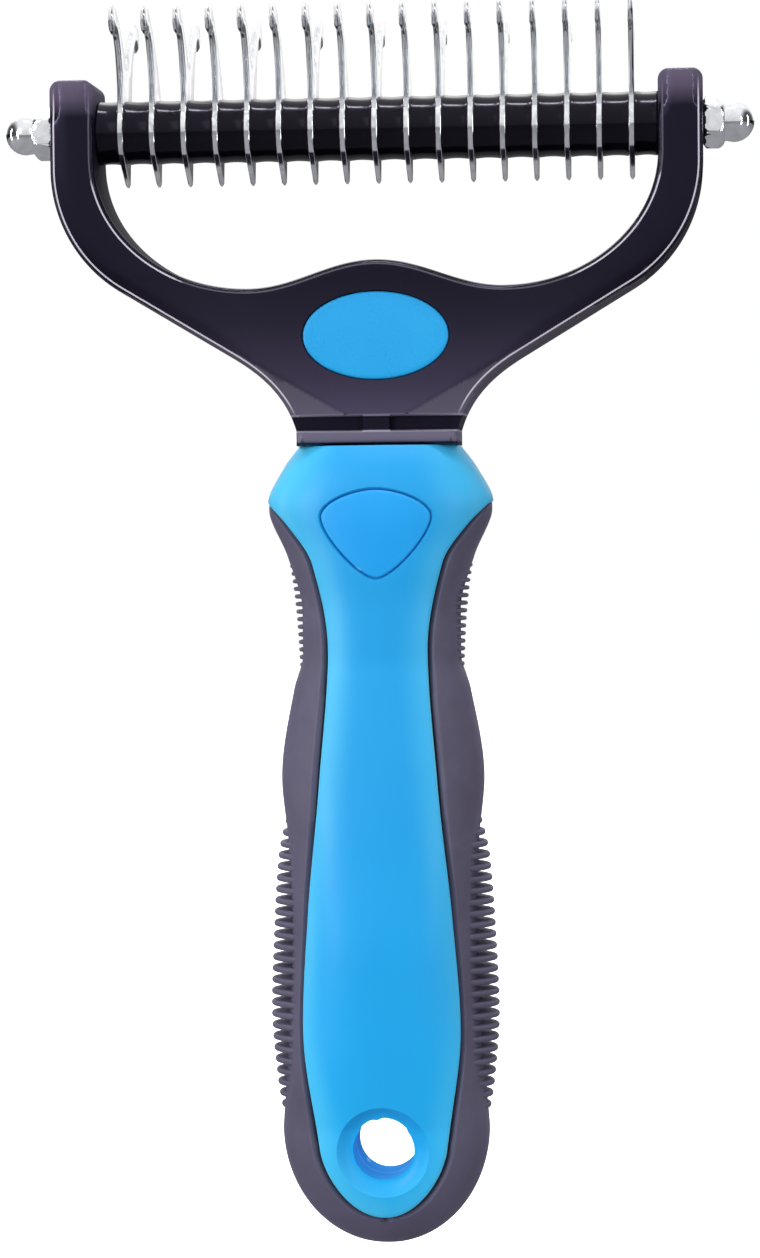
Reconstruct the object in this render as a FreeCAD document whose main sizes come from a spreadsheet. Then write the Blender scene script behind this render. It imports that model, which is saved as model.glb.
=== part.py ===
import FreeCAD
import Part
import Sketcher

import math
import os

# Dematting comb: a yoke carries a clamped stack of steel blades and spacers on an axle,
# and its tang sits in a two-shell handle with a rubber grip round its edge.
#
# Frame, in millimetres: origin at the centre of the hanging hole in the butt of the
# handle, +Z towards the blades, -Y towards the fine side (a hook on every blade),
# +X to the right when the fine side faces the viewer.

V = FreeCAD.Vector

# Driving dimensions: alias, value, meaning.
DIMENSIONS = [
    ("axle_height", 157.0, "hanging hole centre to axle axis"),
    ("ear_width", 6.8, "thickness of an ear along the axle"),
    ("ear_top_rise", 7.7, "axle axis to the top of an ear"),
    ("ear_corner_radius", 1.7, "rounding of an ear's top corners"),
    ("yoke_depth", 13.2, "front to back of the yoke"),
    ("yoke_edge_radius", 1.5, "rounding along the yoke's front and back edges"),
    ("window_dip_half_span", 19.6, "middle plane to the lowest point of the window"),
    ("window_spring_drop", 4.5, "axle axis down to where the window starts to curve"),
    ("window_dip_drop", 24.6, "axle axis down to the lowest point of the window"),
    ("window_crest_drop", 20.4, "axle axis down to the crest in the window's middle"),
    ("shoulder_bend_drop", 6.0, "axle axis down to where the outer edge starts to curve"),
    ("shoulder_bend_radius", 22.0, "radius of the yoke's outer corner"),
    ("shoulder_slope_deg", 31.0, "slope of the yoke's lower edge"),
    ("throat_run", 9.6, "width of the curve where the lower edge turns down to the neck"),
    ("throat_lean_deg", 16.0, "lean of the yoke's side where it meets the neck"),
    ("neck_half_width", 12.35, "middle plane to the side of the neck"),
    ("joint_lip", 0.9, "how far the handle stands in front of the neck at their joint"),
    ("neck_height", 108.3, "hanging hole centre to the joint of yoke and handle"),
    ("collar_height", 2.2, "height of the collar under the neck groove"),
    ("neck_groove_height", 2.3, "height of the neck groove"),
    ("neck_groove_depth", 1.3, "depth of the neck groove"),
    ("neck_rib_width", 4.3, "width of the rib that crosses the groove"),
    ("tang_width", 13.0, "width of the tang inside the handle"),
    ("tang_thickness", 5.6, "front to back of the tang"),
    ("tang_length", 46.0, "length of the tang below the neck"),
    ("tang_clearance", 0.1, "gap round the tang on each side"),
    ("peg_radius", 2.2, "radius of the shell pegs that cross the tang"),
    ("peg_clearance", 0.1, "radial gap round a peg"),
    ("peg_boss_wall", 1.8, "wall of the socket round a peg"),
    ("peg_depth", 3.0, "length of a peg's end in its socket"),
    ("upper_peg_drop", 14.0, "neck joint down to the upper peg"),
    ("lower_peg_drop", 36.0, "neck joint down to the lower peg"),
    ("badge_half_width", 11.2, "half the width of the oval badge"),
    ("badge_half_height", 6.7, "half the height of the oval badge"),
    ("badge_drop", 32.0, "axle axis down to the badge's centre"),
    ("badge_thickness", 1.6, "thickness of the badge"),
    ("badge_recess", 0.25, "how far the badge's face lies below the yoke's"),
    ("badge_gap", 0.15, "gap round the badge in its pocket"),
    ("axle_radius", 2.5, "radius of the axle between the ears"),
    ("axle_flat_half_width", 2.0, "axle axis to each of the two keying flats"),
    ("axle_clearance", 0.05, "radial gap of blades, spacers and ears on the axle"),
    ("thread_radius", 2.0, "radius of the threaded ends"),
    ("thread_length", 5.2, "length of a threaded end beyond its ear"),
    ("thread_clearance", 0.03, "radial gap between a threaded end and its nut"),
    ("end_chamfer", 0.5, "chamfer on the threaded ends"),
    ("nut_flats", 7.0, "across the flats of a cap nut"),
    ("nut_hex_height", 3.2, "height of a cap nut's hexagon"),
    ("nut_height", 7.8, "full height of a cap nut"),
    ("nut_dome_radius", 3.1, "radius of a cap nut's dome"),
    ("nut_bore_depth", 5.8, "depth of a cap nut's thread"),
    ("nut_seat_gap", 0.02, "gap between a cap nut and its ear"),
    ("blade_count", 17, "blades on the axle"),
    ("blade_pitch", 4.89, "blade to blade along the axle"),
    ("blade_thickness", 0.8, "thickness of a blade"),
    ("end_spacer_length", 3.58, "length of the spacer between the last blade and an ear"),
    ("blade_hub_radius", 5.5, "radius of a blade's hub"),
    ("hook_top", 18.3, "axle axis to the top of a hook"),
    ("hook_reach", 13.0, "axle axis to the front of a hook's nose"),
    ("hook_nose_radius", 2.3, "radius of a hook's blunt nose"),
    ("hook_root_share", 0.97, "radius where a hook leaves the hub, as a share of the hub's"),
    ("hook_back_deg", 122.0, "angle on the hub where a hook's back starts"),
    ("hook_front_deg", 28.0, "angle on the hub where a hook's inner edge starts"),
    ("hook_lip_deg", 105.0, "how far a hook's nose curls round below its tip"),
    ("tail_drop", 8.2, "axle axis to the tip of a blade's tail"),
    ("tail_offset", 2.6, "axle plane to the tip of a blade's tail"),
    ("tail_root_half_width", 3.0, "half the width of a tail where it leaves the hub"),
    ("tail_root_share", 0.95, "radius where a tail leaves the hub, as a share of the hub's"),
    ("tail_blunt_half_width", 0.25, "half the width of a tail's blunt tip"),
    ("spacer_waist_radius", 4.75, "radius of a spacer at its middle"),
    ("spacer_rim_radius", 4.95, "radius of a spacer at its ends"),
    ("hole_radius", 4.9, "radius of the hanging hole"),
    ("dish_radius", 7.1, "radius of the dish round the hanging hole"),
    ("dish_depth", 1.6, "depth of the dish at the edge of the hole"),
    ("butt_drop", 15.3, "hanging hole centre down to the end of the handle"),
    ("section_exponent", 2.45, "squareness of the handle's cross-section"),
    ("grip_thickness", 2.5, "thickness of the rubber grip"),
    ("grip_clearance", 0.04, "gap between the grip and the shells"),
    ("shell_wall", 2.2, "wall of the handle shells"),
    ("cavity_bottom", 11.0, "lowest point of the hollow in the handle"),
    ("cavity_top_drop", 9.3, "neck joint down to the top of the hollow in the handle"),
    ("stiffener_pitch", 12.5, "spacing of the stiffening ribs inside the shells"),
    ("stiffener_thickness", 1.4, "thickness of a stiffening rib"),
    ("pad_depth", 1.3, "thickness of the thumb pads"),
    ("pad_gap", 0.12, "gap round a thumb pad in its pocket"),
    ("pad_half_width", 8.5, "half the width of a thumb pad"),
    ("pad_top", 101.6, "top of a thumb pad"),
    ("pad_shoulder", 97.4, "widest height of a thumb pad"),
    ("pad_bottom", 88.0, "lowest point of a thumb pad"),
]

# Sizes that follow from others: alias, formula, meaning.
DERIVED = [
    (
        "ear_inner_half_width",
        "=((blade_count - 1) * blade_pitch + blade_thickness) / 2 + end_spacer_length",
        "middle plane to the inner face of an ear",
    ),
    ("head_half_width", "=ear_inner_half_width + ear_width", "middle plane to an ear's outer face"),
    ("cavity_top", "=neck_height - cavity_top_drop", "highest point of the hollow"),
    ("joint_height", "=neck_height", "joint station, height"),
    ("joint_half_width", "=neck_half_width", "joint station, half width"),
    ("joint_half_depth", "=yoke_depth / 2 + joint_lip", "joint station, half depth"),
]

# Handle stations below the joint with the neck: name, height, half width, half depth.
HANDLE_STATIONS = [
    ("flare", 104.9, 14.9, 9.3),
    ("shoulder", 99.4, 17.4, 10.2),
    ("thumb", 91.0, 14.3, 9.9),
    ("waist_upper", 83.0, 12.2, 9.5),
    ("waist_lower", 76.0, 12.2, 9.5),
    ("stop", 71.0, 13.6, 9.9),
    ("finger", 57.2, 15.65, 11.2),
    ("palm_upper", 47.0, 14.7, 12.0),
    ("palm", 34.0, 14.25, 12.4),
    ("palm_lower", 18.0, 14.9, 11.0),
    ("heel", 3.0, 16.05, 8.2),
]

# Half width of the blue panel between the two sides of the grip: name, height, half width.
PANEL_STATIONS = [
    ("panel_tip", 101.4, 19.4),
    ("panel_corner", 99.2, 17.2),
    ("panel_thumb", 95.7, 13.8),
    ("panel_flank", 90.2, 10.2),
    ("panel_waist", 77.0, 7.85),
    ("panel_finger", 57.2, 9.2),
    ("panel_palm", 36.0, 11.35),
    ("panel_widest", 19.0, 12.35),
    ("panel_hole", 0.3, 10.0),
    ("panel_heel", -7.2, 6.5),
    ("panel_end", -10.8, 0.0),
]

SECTION_POINTS = 20      # points on a handle cross-section
SEAM_CHOICES = (-4.5, -4.3, -4.7, -5.5, -3.5)  # points from the right side to the seam
LOFT_STEP = 6.0          # spacing of the handle's cross-sections
CAP_SECTIONS = 5         # cross-sections in the rounded butt
MARGIN = 5.0             # how far a cutting solid reaches past what it cuts
REACH = 60.0             # half the size of the boxes that cut the handle
BUTT_SPREAD = 5.0        # how strongly the butt's cross-sections crowd towards its end
BUTT_TURN = 0.965        # share of a quarter turn that the rounded butt covers
SHELL_LIKENESS = 0.1     # the two shells' volumes may differ by this share

doc = FreeCAD.newDocument("DemattingComb")
sheet = doc.addObject("Spreadsheet::Sheet", "Sizes")


def fill_sheet():
    """Write every driving dimension to the sheet, one aliased cell each."""
    rows = list(DIMENSIONS) + list(DERIVED)
    for name, height, half_width, half_depth in HANDLE_STATIONS:
        rows.append((name + "_height", height, name + " station, height"))
        rows.append((name + "_half_width", half_width, name + " station, half width"))
        rows.append((name + "_half_depth", half_depth, name + " station, half depth"))
    for name, height, half_width in PANEL_STATIONS:
        rows.append((name + "_height", height, name + " station, height"))
        rows.append((name + "_half_width", half_width, name + " station, half width"))
    for number, (alias, value, meaning) in enumerate(rows, start=1):
        sheet.set("A%d" % number, meaning)
        sheet.set("B%d" % number, str(value))
        sheet.setAlias("B%d" % number, alias)
    doc.recompute()


fill_sheet()


def size(alias):
    """Value of one driving dimension."""
    return float(sheet.get(alias))


def cell(alias):
    """Expression text that reads one driving dimension."""
    return "Sizes." + alias


# ---------------------------------------------------------------- helpers


def smooth_curve(points):
    """Monotone cubic through (height, value) points; returns value at a height."""
    points = sorted(points)
    heights = [p[0] for p in points]
    values = [p[1] for p in points]
    steps = [b - a for a, b in zip(heights, heights[1:])]
    rises = [(b - a) / step for a, b, step in zip(values, values[1:], steps)]
    slopes = [rises[0]]
    for index in range(1, len(points) - 1):
        before, after = rises[index - 1], rises[index]
        slopes.append(0.0 if before * after <= 0 else 2 * before * after / (before + after))
    slopes.append(rises[-1])

    def value_at(height):
        height = min(max(height, heights[0]), heights[-1])
        index = 0
        while index < len(steps) - 1 and height > heights[index + 1]:
            index += 1
        step = steps[index]
        share = (height - heights[index]) / step
        return (
            values[index] * (1 + 2 * share) * (1 - share) ** 2
            + slopes[index] * step * share * (1 - share) ** 2
            + values[index + 1] * share ** 2 * (3 - 2 * share)
            + slopes[index + 1] * step * share ** 2 * (share - 1)
        )

    return value_at


def station_curve(stations, column):
    """Smooth curve over named stations, read from the sheet."""
    return smooth_curve(
        [(size(row[0] + "_height"), size(row[0] + column)) for row in stations]
    )


def handle_curve(column):
    """Smooth curve down the handle, from its joint with the neck to its heel."""
    return station_curve([("joint",)] + HANDLE_STATIONS, column)


def section_wire(height, half_width, half_depth, exponent, seam):
    """Closed rounded cross-section of the handle at one height."""
    points = []
    for index in range(SECTION_POINTS):
        angle = 2 * math.pi * (index + seam) / SECTION_POINTS
        cosine, sine = math.cos(angle), math.sin(angle)
        x = half_width * math.copysign(abs(cosine) ** (2 / exponent), cosine)
        y = half_depth * math.copysign(abs(sine) ** (2 / exponent), sine)
        points.append(V(x, y, height))
    curve = Part.BSplineCurve()
    curve.interpolate(points, PeriodicFlag=True)
    return Part.Wire(curve.toShape())


def handle_envelope(inset, seam):
    """The handle's outer solid, moved inwards by inset on every side but the neck's."""
    width, depth = handle_curve("_half_width"), handle_curve("_half_depth")
    top, heel = size("neck_height"), size("heel_height")
    exponent = size("section_exponent")
    count = max(4, int(round((top - heel) / LOFT_STEP)))
    wires = []
    for index in range(count + 1):
        height = top - (top - heel) * index / count
        wires.append(
            section_wire(height, width(height) - inset, depth(height) - inset, exponent, seam)
        )
    drop = heel + size("butt_drop") - inset
    for index in range(1, CAP_SECTIONS + 1):
        crowd = 1 - 0.5 ** (BUTT_SPREAD * index / CAP_SECTIONS)
        angle = 0.5 * math.pi * BUTT_TURN * crowd / (1 - 0.5 ** BUTT_SPREAD)
        height = heel - drop * math.sin(angle)
        share = math.cos(angle)
        wires.append(
            section_wire(
                height,
                (width(heel) - inset) * share,
                (depth(heel) - inset) * share,
                exponent,
                seam,
            )
        )
    return Part.makeLoft(wires, True, False)


def slab(bottom, thickness):
    """Wide flat box between two heights."""
    return Part.makeBox(2 * REACH, 2 * REACH, thickness, V(-REACH, -REACH, bottom))


def panel_prism(gap):
    """Prism through the handle that bounds the blue panel, widened by gap."""
    side = [
        V(size(row[0] + "_half_width") + (gap if index < len(PANEL_STATIONS) - 1 else 0),
          0, size(row[0] + "_height") - (gap if index == len(PANEL_STATIONS) - 1 else 0))
        for index, row in enumerate(PANEL_STATIONS)
    ]
    top = size("neck_height") + MARGIN
    right = Part.BSplineCurve()
    right.interpolate(side, InitialTangent=V(-1, 0, -1), FinalTangent=V(-1, 0, 0))
    mirrored = [V(-point.x, 0, point.z) for point in reversed(side)]
    left = Part.BSplineCurve()
    left.interpolate(mirrored, InitialTangent=V(-1, 0, 0), FinalTangent=V(-1, 0, 1))
    corner_right, corner_left = V(side[0].x, 0, top), V(-side[0].x, 0, top)
    wire = Part.Wire([
        right.toShape(),
        left.toShape(),
        Part.LineSegment(mirrored[-1], corner_left).toShape(),
        Part.LineSegment(corner_left, corner_right).toShape(),
        Part.LineSegment(corner_right, side[0]).toShape(),
    ])
    face = Part.Face(wire)
    face.translate(V(0, -REACH, 0))
    return face.extrude(V(0, 2 * REACH, 0))


def cylinder_y(radius, x, z, y_start, y_end):
    """Cylinder along +Y between two depths."""
    return Part.makeCylinder(radius, y_end - y_start, V(x, y_start, z), V(0, 1, 0))


def add_feature(label, shape):
    """Put a finished shape into the document under its own label."""
    feature = doc.addObject("Part::Feature", label)
    feature.Label = label
    feature.Shape = shape
    return feature


def new_body(label):
    """Empty body under its own label."""
    body = doc.addObject("PartDesign::Body", label)
    body.Label = label
    return body


def plane_of(body, role):
    """One of a body's own origin planes."""
    return next(item for item in body.Origin.OriginFeatures if item.Role == role)


def sketch_on(body, role, name, geometry):
    """Sketch with the given geometry on one of a body's origin planes."""
    sketch = body.newObject("Sketcher::SketchObject", name)
    sketch.AttachmentSupport = [(plane_of(body, role), "")]
    sketch.MapMode = "FlatFace"
    sketch.addGeometry(geometry, False)
    return sketch


def circle(sketch_radius, x=0.0, y=0.0):
    """Circle for a sketch."""
    return Part.Circle(V(x, y, 0), V(0, 0, 1), sketch_radius)


def bind_radius(sketch, index, name, expression, x="0 mm", y="0 mm"):
    """Fix a circle's radius and centre to expressions."""
    radius = sketch.addConstraint(
        Sketcher.Constraint("Radius", index, sketch.Geometry[index].Radius)
    )
    sketch.renameConstraint(radius, name)
    sketch.setExpression("Constraints." + name, expression)
    across = sketch.addConstraint(
        Sketcher.Constraint("DistanceX", -1, 1, index, 3, sketch.Geometry[index].Center.x)
    )
    up = sketch.addConstraint(
        Sketcher.Constraint("DistanceY", -1, 1, index, 3, sketch.Geometry[index].Center.y)
    )
    for constraint, suffix, text in ((across, "_x", x), (up, "_y", y)):
        sketch.renameConstraint(constraint, name + suffix)
        sketch.setExpression("Constraints." + name + suffix, text)


def extrude(body, kind, name, sketch, length, midplane=False, reverse=False, through=False):
    """Pad or pocket of a sketch, with its length bound to an expression."""
    feature = body.newObject("PartDesign::" + kind, name)
    feature.Profile = sketch
    if through:
        feature.Type = 1
    else:
        feature.setExpression("Length", length)
    feature.Midplane = midplane
    feature.Reversed = reverse
    return feature


def flatted_circle(radius, flat):
    """Circle with two flats, for the keyed axle and the holes on it."""
    rise = math.sqrt(radius ** 2 - flat ** 2)
    return [
        Part.LineSegment(V(flat, -rise, 0), V(flat, rise, 0)),
        Part.Arc(V(flat, rise, 0), V(0, radius, 0), V(-flat, rise, 0)),
        Part.LineSegment(V(-flat, rise, 0), V(-flat, -rise, 0)),
        Part.Arc(V(-flat, -rise, 0), V(0, -radius, 0), V(flat, -rise, 0)),
    ]


# ---------------------------------------------------------------- yoke


def hermite(start, end, start_tangent, end_tangent):
    """Smooth curve between two points with given directions; only their headings count."""
    curve = Part.BSplineCurve()
    curve.interpolate([start, end], InitialTangent=start_tangent, FinalTangent=end_tangent)
    return curve


def yoke_half_outline(side):
    """Half of the yoke's front outline, from crest to neck, on the side +1 or -1."""
    axle = size("axle_height")
    inner, outer = size("ear_inner_half_width"), size("head_half_width")
    dip_x, dip_z = size("window_dip_half_span"), axle - size("window_dip_drop")
    crest_z = axle - size("window_crest_drop")
    spring = axle - size("window_spring_drop")
    top = axle + size("ear_top_rise")
    corner = size("ear_corner_radius")
    cut = corner * (1 - math.sqrt(0.5))
    bend, bend_z = size("shoulder_bend_radius"), axle - size("shoulder_bend_drop")
    slope = math.radians(size("shoulder_slope_deg"))
    lean = math.radians(size("throat_lean_deg"))
    neck = size("neck_half_width")
    neck_top = size("neck_height") + size("collar_height")

    def point(x, z):
        return V(side * x, z, 0)

    def on_bend(angle):
        return point(outer - bend * (1 - math.cos(angle)), bend_z - bend * math.sin(angle))

    turn = 0.5 * math.pi - slope
    bend_end = on_bend(turn)
    throat_x = neck + size("throat_run")
    throat_z = bend_end.y - (abs(bend_end.x) - throat_x) * math.tan(slope)
    pull = 1.1 * math.hypot(throat_x - neck, throat_z - neck_top)
    crest_curve = Part.BSplineCurve()
    crest_curve.interpolate(
        [point(0, crest_z), point(0.55 * dip_x, 0.5 * (crest_z + dip_z)), point(dip_x, dip_z)],
        InitialTangent=point(1, 0), FinalTangent=point(1, 0),
    )
    return [
        crest_curve,
        hermite(
            point(dip_x, dip_z), point(inner, spring),
            point(1.66 * (inner - dip_x), 0), point(0, 1.66 * (spring - dip_z)),
        ),
        Part.LineSegment(point(inner, spring), point(inner, top - corner)),
        Part.Arc(
            point(inner, top - corner), point(inner + cut, top - cut), point(inner + corner, top)
        ),
        Part.LineSegment(point(inner + corner, top), point(outer - corner, top)),
        Part.Arc(
            point(outer - corner, top), point(outer - cut, top - cut), point(outer, top - corner)
        ),
        Part.LineSegment(point(outer, top - corner), point(outer, bend_z)),
        Part.Arc(point(outer, bend_z), on_bend(0.5 * turn), bend_end),
        Part.LineSegment(bend_end, point(throat_x, throat_z)),
        hermite(
            point(throat_x, throat_z), point(neck, neck_top),
            point(-math.cos(slope), -math.sin(slope)) * pull,
            point(-math.sin(lean), -math.cos(lean)) * pull,
        ),
        Part.LineSegment(point(neck, neck_top), point(neck, size("neck_height"))),
        Part.LineSegment(point(neck, size("neck_height")), point(0, size("neck_height"))),
    ]


def fillet_plate(body, pad, radius):
    """Round the edges of a pad's front and back faces, except at the neck joint."""
    fillet = body.newObject("PartDesign::Fillet", "YokeEdges")
    face_depth = 0.5 * size("yoke_depth")
    names = []
    for index, edge in enumerate(pad.Shape.Edges, start=1):
        points = [vertex.Point for vertex in edge.Vertexes]
        on_face = all(abs(abs(point.y) - face_depth) < 1e-4 for point in points)
        flat = abs(points[0].y - points[-1].y) < 1e-4
        at_neck = all(point.z < size("neck_height") + 1e-3 for point in points)
        if on_face and flat and not at_neck:
            names.append("Edge%d" % index)
    fillet.Base = (pad, names)
    fillet.setExpression("Radius", radius)
    return fillet


def rectangle(left, right, bottom, top):
    """Closed rectangle for a sketch."""
    corners = [V(left, bottom, 0), V(right, bottom, 0), V(right, top, 0), V(left, top, 0)]
    return [
        Part.LineSegment(start, end) for start, end in zip(corners, corners[1:] + corners[:1])
    ]


def face_pocket(body, name, geometry, depth):
    """Pocket of the same shape from the yoke's front face and from its back face."""
    for suffix, sign in (("Front", 1), ("Back", -1)):
        sketch = sketch_on(body, "XZ_Plane", name + suffix + "Sketch", geometry)
        offset = "%d * (Sizes.yoke_depth / 2 - (%s))" % (sign, depth)
        sketch.setExpression(".AttachmentOffset.Base.z", offset)
        extrude(body, "Pocket", name + suffix, sketch, "", reverse=sign > 0, through=True)


def build_yoke():
    """Yoke with ears, window, badge pockets, neck grooves and tang."""
    body = new_body("yoke")
    outline = sketch_on(
        body, "XZ_Plane", "YokeOutline", yoke_half_outline(1) + yoke_half_outline(-1)
    )
    plate = extrude(body, "Pad", "YokePlate", outline, cell("yoke_depth"), midplane=True)
    doc.recompute()
    fillet_plate(body, plate, cell("yoke_edge_radius"))
    doc.recompute()

    neck, tang = size("neck_height"), 0.5 * size("tang_width")
    tang_sketch = sketch_on(
        body, "XZ_Plane", "TangSketch",
        rectangle(-tang, tang, neck - size("tang_length"), neck + size("collar_height")),
    )
    extrude(body, "Pad", "Tang", tang_sketch, cell("tang_thickness"), midplane=True)
    doc.recompute()

    holes = [
        circle(size("peg_radius") + size("peg_clearance"), 0, neck - size(alias))
        for alias in ("upper_peg_drop", "lower_peg_drop")
    ]
    hole_sketch = sketch_on(body, "XZ_Plane", "PegHoleSketch", holes)
    for index, alias in enumerate(("upper_peg_drop", "lower_peg_drop")):
        bind_radius(
            hole_sketch, index, "PegHole%d" % index, "Sizes.peg_radius + Sizes.peg_clearance",
            y="Sizes.neck_height - " + cell(alias),
        )
    extrude(body, "Pocket", "PegHoles", hole_sketch, "", midplane=True, through=True)

    bore = flatted_circle(
        size("axle_radius") + size("axle_clearance"),
        size("axle_flat_half_width") + size("axle_clearance"),
    )
    for curve in bore:
        curve.translate(V(0, size("axle_height"), 0))
    bore_sketch = sketch_on(body, "YZ_Plane", "AxleBoreSketch", bore)
    extrude(body, "Pocket", "AxleBore", bore_sketch, "", midplane=True, through=True)

    centre = V(0, size("axle_height") - size("badge_drop"), 0)
    oval = Part.Ellipse(
        centre,
        size("badge_half_width") + size("badge_gap"),
        size("badge_half_height") + size("badge_gap"),
    )
    face_pocket(body, "BadgePocket", [oval], "Sizes.badge_thickness + Sizes.badge_recess")

    low = neck + size("collar_height")
    high = low + size("neck_groove_height")
    rib, reach = 0.5 * size("neck_rib_width"), size("neck_half_width") + MARGIN
    grooves = rectangle(rib, reach, low, high) + rectangle(-reach, -rib, low, high)
    face_pocket(body, "NeckGroove", grooves, cell("neck_groove_depth"))
    doc.recompute()
    return body


def build_badge(label, side):
    """Oval badge in the yoke's pocket: side is -1 at the front, +1 at the back."""
    body = new_body(label)
    oval = Part.Ellipse(V(0, 0, 0), size("badge_half_width"), size("badge_half_height"))
    sketch = sketch_on(body, "XZ_Plane", label + "_oval", [oval])
    extrude(body, "Pad", label + "_plate", sketch, cell("badge_thickness"), reverse=side < 0)
    body.setExpression(
        ".Placement.Base.y", "%d * (Sizes.yoke_depth / 2 - Sizes.badge_recess)" % side
    )
    body.setExpression(".Placement.Base.z", "Sizes.axle_height - Sizes.badge_drop")
    return body


# ---------------------------------------------------------------- axle, nuts and blades


def build_axle():
    """Axle with two keying flats and a threaded stud at each end."""
    body = new_body("axle")
    keyed = flatted_circle(size("axle_radius"), size("axle_flat_half_width"))
    sketch = sketch_on(body, "YZ_Plane", "AxleSection", keyed)
    extrude(body, "Pad", "AxleCore", sketch, "2 * Sizes.head_half_width", midplane=True)
    thread = sketch_on(body, "YZ_Plane", "ThreadSection", [circle(size("thread_radius"))])
    bind_radius(thread, 0, "ThreadRadius", cell("thread_radius"))
    rod = extrude(
        body, "Pad", "Threads", thread,
        "2 * (Sizes.head_half_width + Sizes.thread_length)", midplane=True,
    )
    doc.recompute()
    end = size("head_half_width") + size("thread_length")
    rims = [
        "Edge%d" % index
        for index, edge in enumerate(rod.Shape.Edges, start=1)
        if abs(abs(edge.CenterOfMass.x) - end) < 1e-4
    ]
    chamfer = body.newObject("PartDesign::Chamfer", "ThreadLeadIn")
    chamfer.Base = (rod, rims)
    chamfer.setExpression("Size", cell("end_chamfer"))
    body.setExpression(".Placement.Base.z", cell("axle_height"))
    doc.recompute()
    return body


def build_cap_nut(label, side):
    """Domed cap nut, its seat towards the ear; side is -1 on the left, +1 on the right."""
    hexagon = doc.addObject("Part::Prism", label + "_hexagon")
    hexagon.Polygon = 6
    hexagon.setExpression("Circumradius", "Sizes.nut_flats / 2 / cos(30 deg)")
    hexagon.setExpression("Height", cell("nut_hex_height"))
    bevel = doc.addObject("Part::Cone", label + "_bevel")
    bevel.setExpression("Radius1", "Sizes.nut_flats * 0.5 + Sizes.nut_hex_height * 0.6")
    bevel.setExpression("Radius2", "Sizes.nut_flats * 0.5")
    bevel.setExpression("Height", cell("nut_hex_height"))
    trimmed = doc.addObject("Part::Common", label + "_trimmed")
    trimmed.Base = hexagon
    trimmed.Tool = bevel
    collar = doc.addObject("Part::Cylinder", label + "_collar")
    collar.setExpression("Radius", cell("nut_dome_radius"))
    collar.setExpression("Height", "Sizes.nut_height - Sizes.nut_dome_radius")
    dome = doc.addObject("Part::Sphere", label + "_dome")
    dome.setExpression("Radius", cell("nut_dome_radius"))
    dome.setExpression(".Placement.Base.z", "Sizes.nut_height - Sizes.nut_dome_radius")
    blank = doc.addObject("Part::MultiFuse", label + "_blank")
    blank.Shapes = [trimmed, collar, dome]
    bore = doc.addObject("Part::Cylinder", label + "_bore")
    bore.setExpression("Radius", "Sizes.thread_radius + Sizes.thread_clearance")
    bore.setExpression("Height", cell("nut_bore_depth"))
    nut = doc.addObject("Part::Cut", label)
    nut.Label = label
    nut.Base = blank
    nut.Tool = bore
    nut.Placement.Rotation = FreeCAD.Rotation(V(0, 1, 0), 90 * side)
    nut.setExpression(
        ".Placement.Base.x", "%d * (Sizes.head_half_width + Sizes.nut_seat_gap)" % side
    )
    nut.setExpression(".Placement.Base.z", cell("axle_height"))
    return nut


def hook_outline(side):
    """Hook that leans forward and ends in a blunt nose; side is -1 for the front hook."""
    nose = size("hook_nose_radius")
    nose_y, nose_z = size("hook_reach") - nose, size("hook_top") - nose
    root = size("hook_root_share") * size("blade_hub_radius")
    back_angle, front_angle = (math.radians(size(a)) for a in ("hook_back_deg", "hook_front_deg"))
    lip_angle = -math.radians(size("hook_lip_deg"))

    def point(y, z):
        return V(side * y, z, 0)

    back = point(root * math.cos(back_angle), root * math.sin(back_angle))
    front = point(root * math.cos(front_angle), root * math.sin(front_angle))
    crown = point(nose_y, nose_z + nose)
    tip = point(nose_y + nose, nose_z)
    lip = point(nose_y + nose * math.cos(lip_angle), nose_z + nose * math.sin(lip_angle))
    return [
        hermite(back, crown, point(-0.1, 1), point(1, 0)),
        Part.Arc(crown, tip, lip),
        hermite(
            lip, front, point(math.sin(lip_angle), -math.cos(lip_angle)), point(0.25, -1),
        ),
        Part.LineSegment(front, back),
    ]


def tail_outline():
    """Wedge below the hub, leaning to the back."""
    half = size("tail_root_half_width")
    root_z = -math.sqrt((size("tail_root_share") * size("blade_hub_radius")) ** 2 - half ** 2)
    front, back = V(-half, root_z, 0), V(half, root_z, 0)
    tip_y, tip_z = size("tail_offset"), -size("tail_drop")
    blunt = size("tail_blunt_half_width")
    left, right = V(tip_y - blunt, tip_z, 0), V(tip_y + blunt, tip_z, 0)
    return [
        Part.LineSegment(front, left),
        Part.LineSegment(left, right),
        Part.LineSegment(right, back),
        Part.LineSegment(back, front),
    ]


def build_blade(number):
    """Blade with a front hook and a tail; every other one also has a rear hook."""
    label = "blade_%02d" % number
    body = new_body(label)
    sections = [("Hub", [circle(size("blade_hub_radius"))]), ("FrontHook", hook_outline(-1))]
    if number % 2:
        sections.append(("RearHook", hook_outline(1)))
    sections.append(("Tail", tail_outline()))
    for name, geometry in sections:
        sketch = sketch_on(body, "YZ_Plane", label + name + "Sketch", geometry)
        if name == "Hub":
            bind_radius(sketch, 0, "HubRadius", cell("blade_hub_radius"))
        extrude(body, "Pad", label + name, sketch, cell("blade_thickness"), midplane=True)
    bore = flatted_circle(
        size("axle_radius") + size("axle_clearance"),
        size("axle_flat_half_width") + size("axle_clearance"),
    )
    sketch = sketch_on(body, "YZ_Plane", label + "BoreSketch", bore)
    extrude(body, "Pocket", label + "Bore", sketch, "", midplane=True, through=True)
    body.setExpression(
        ".Placement.Base.x", "(%d - (Sizes.blade_count + 1) / 2) * Sizes.blade_pitch" % number
    )
    body.setExpression(".Placement.Base.z", cell("axle_height"))
    return body


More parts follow.
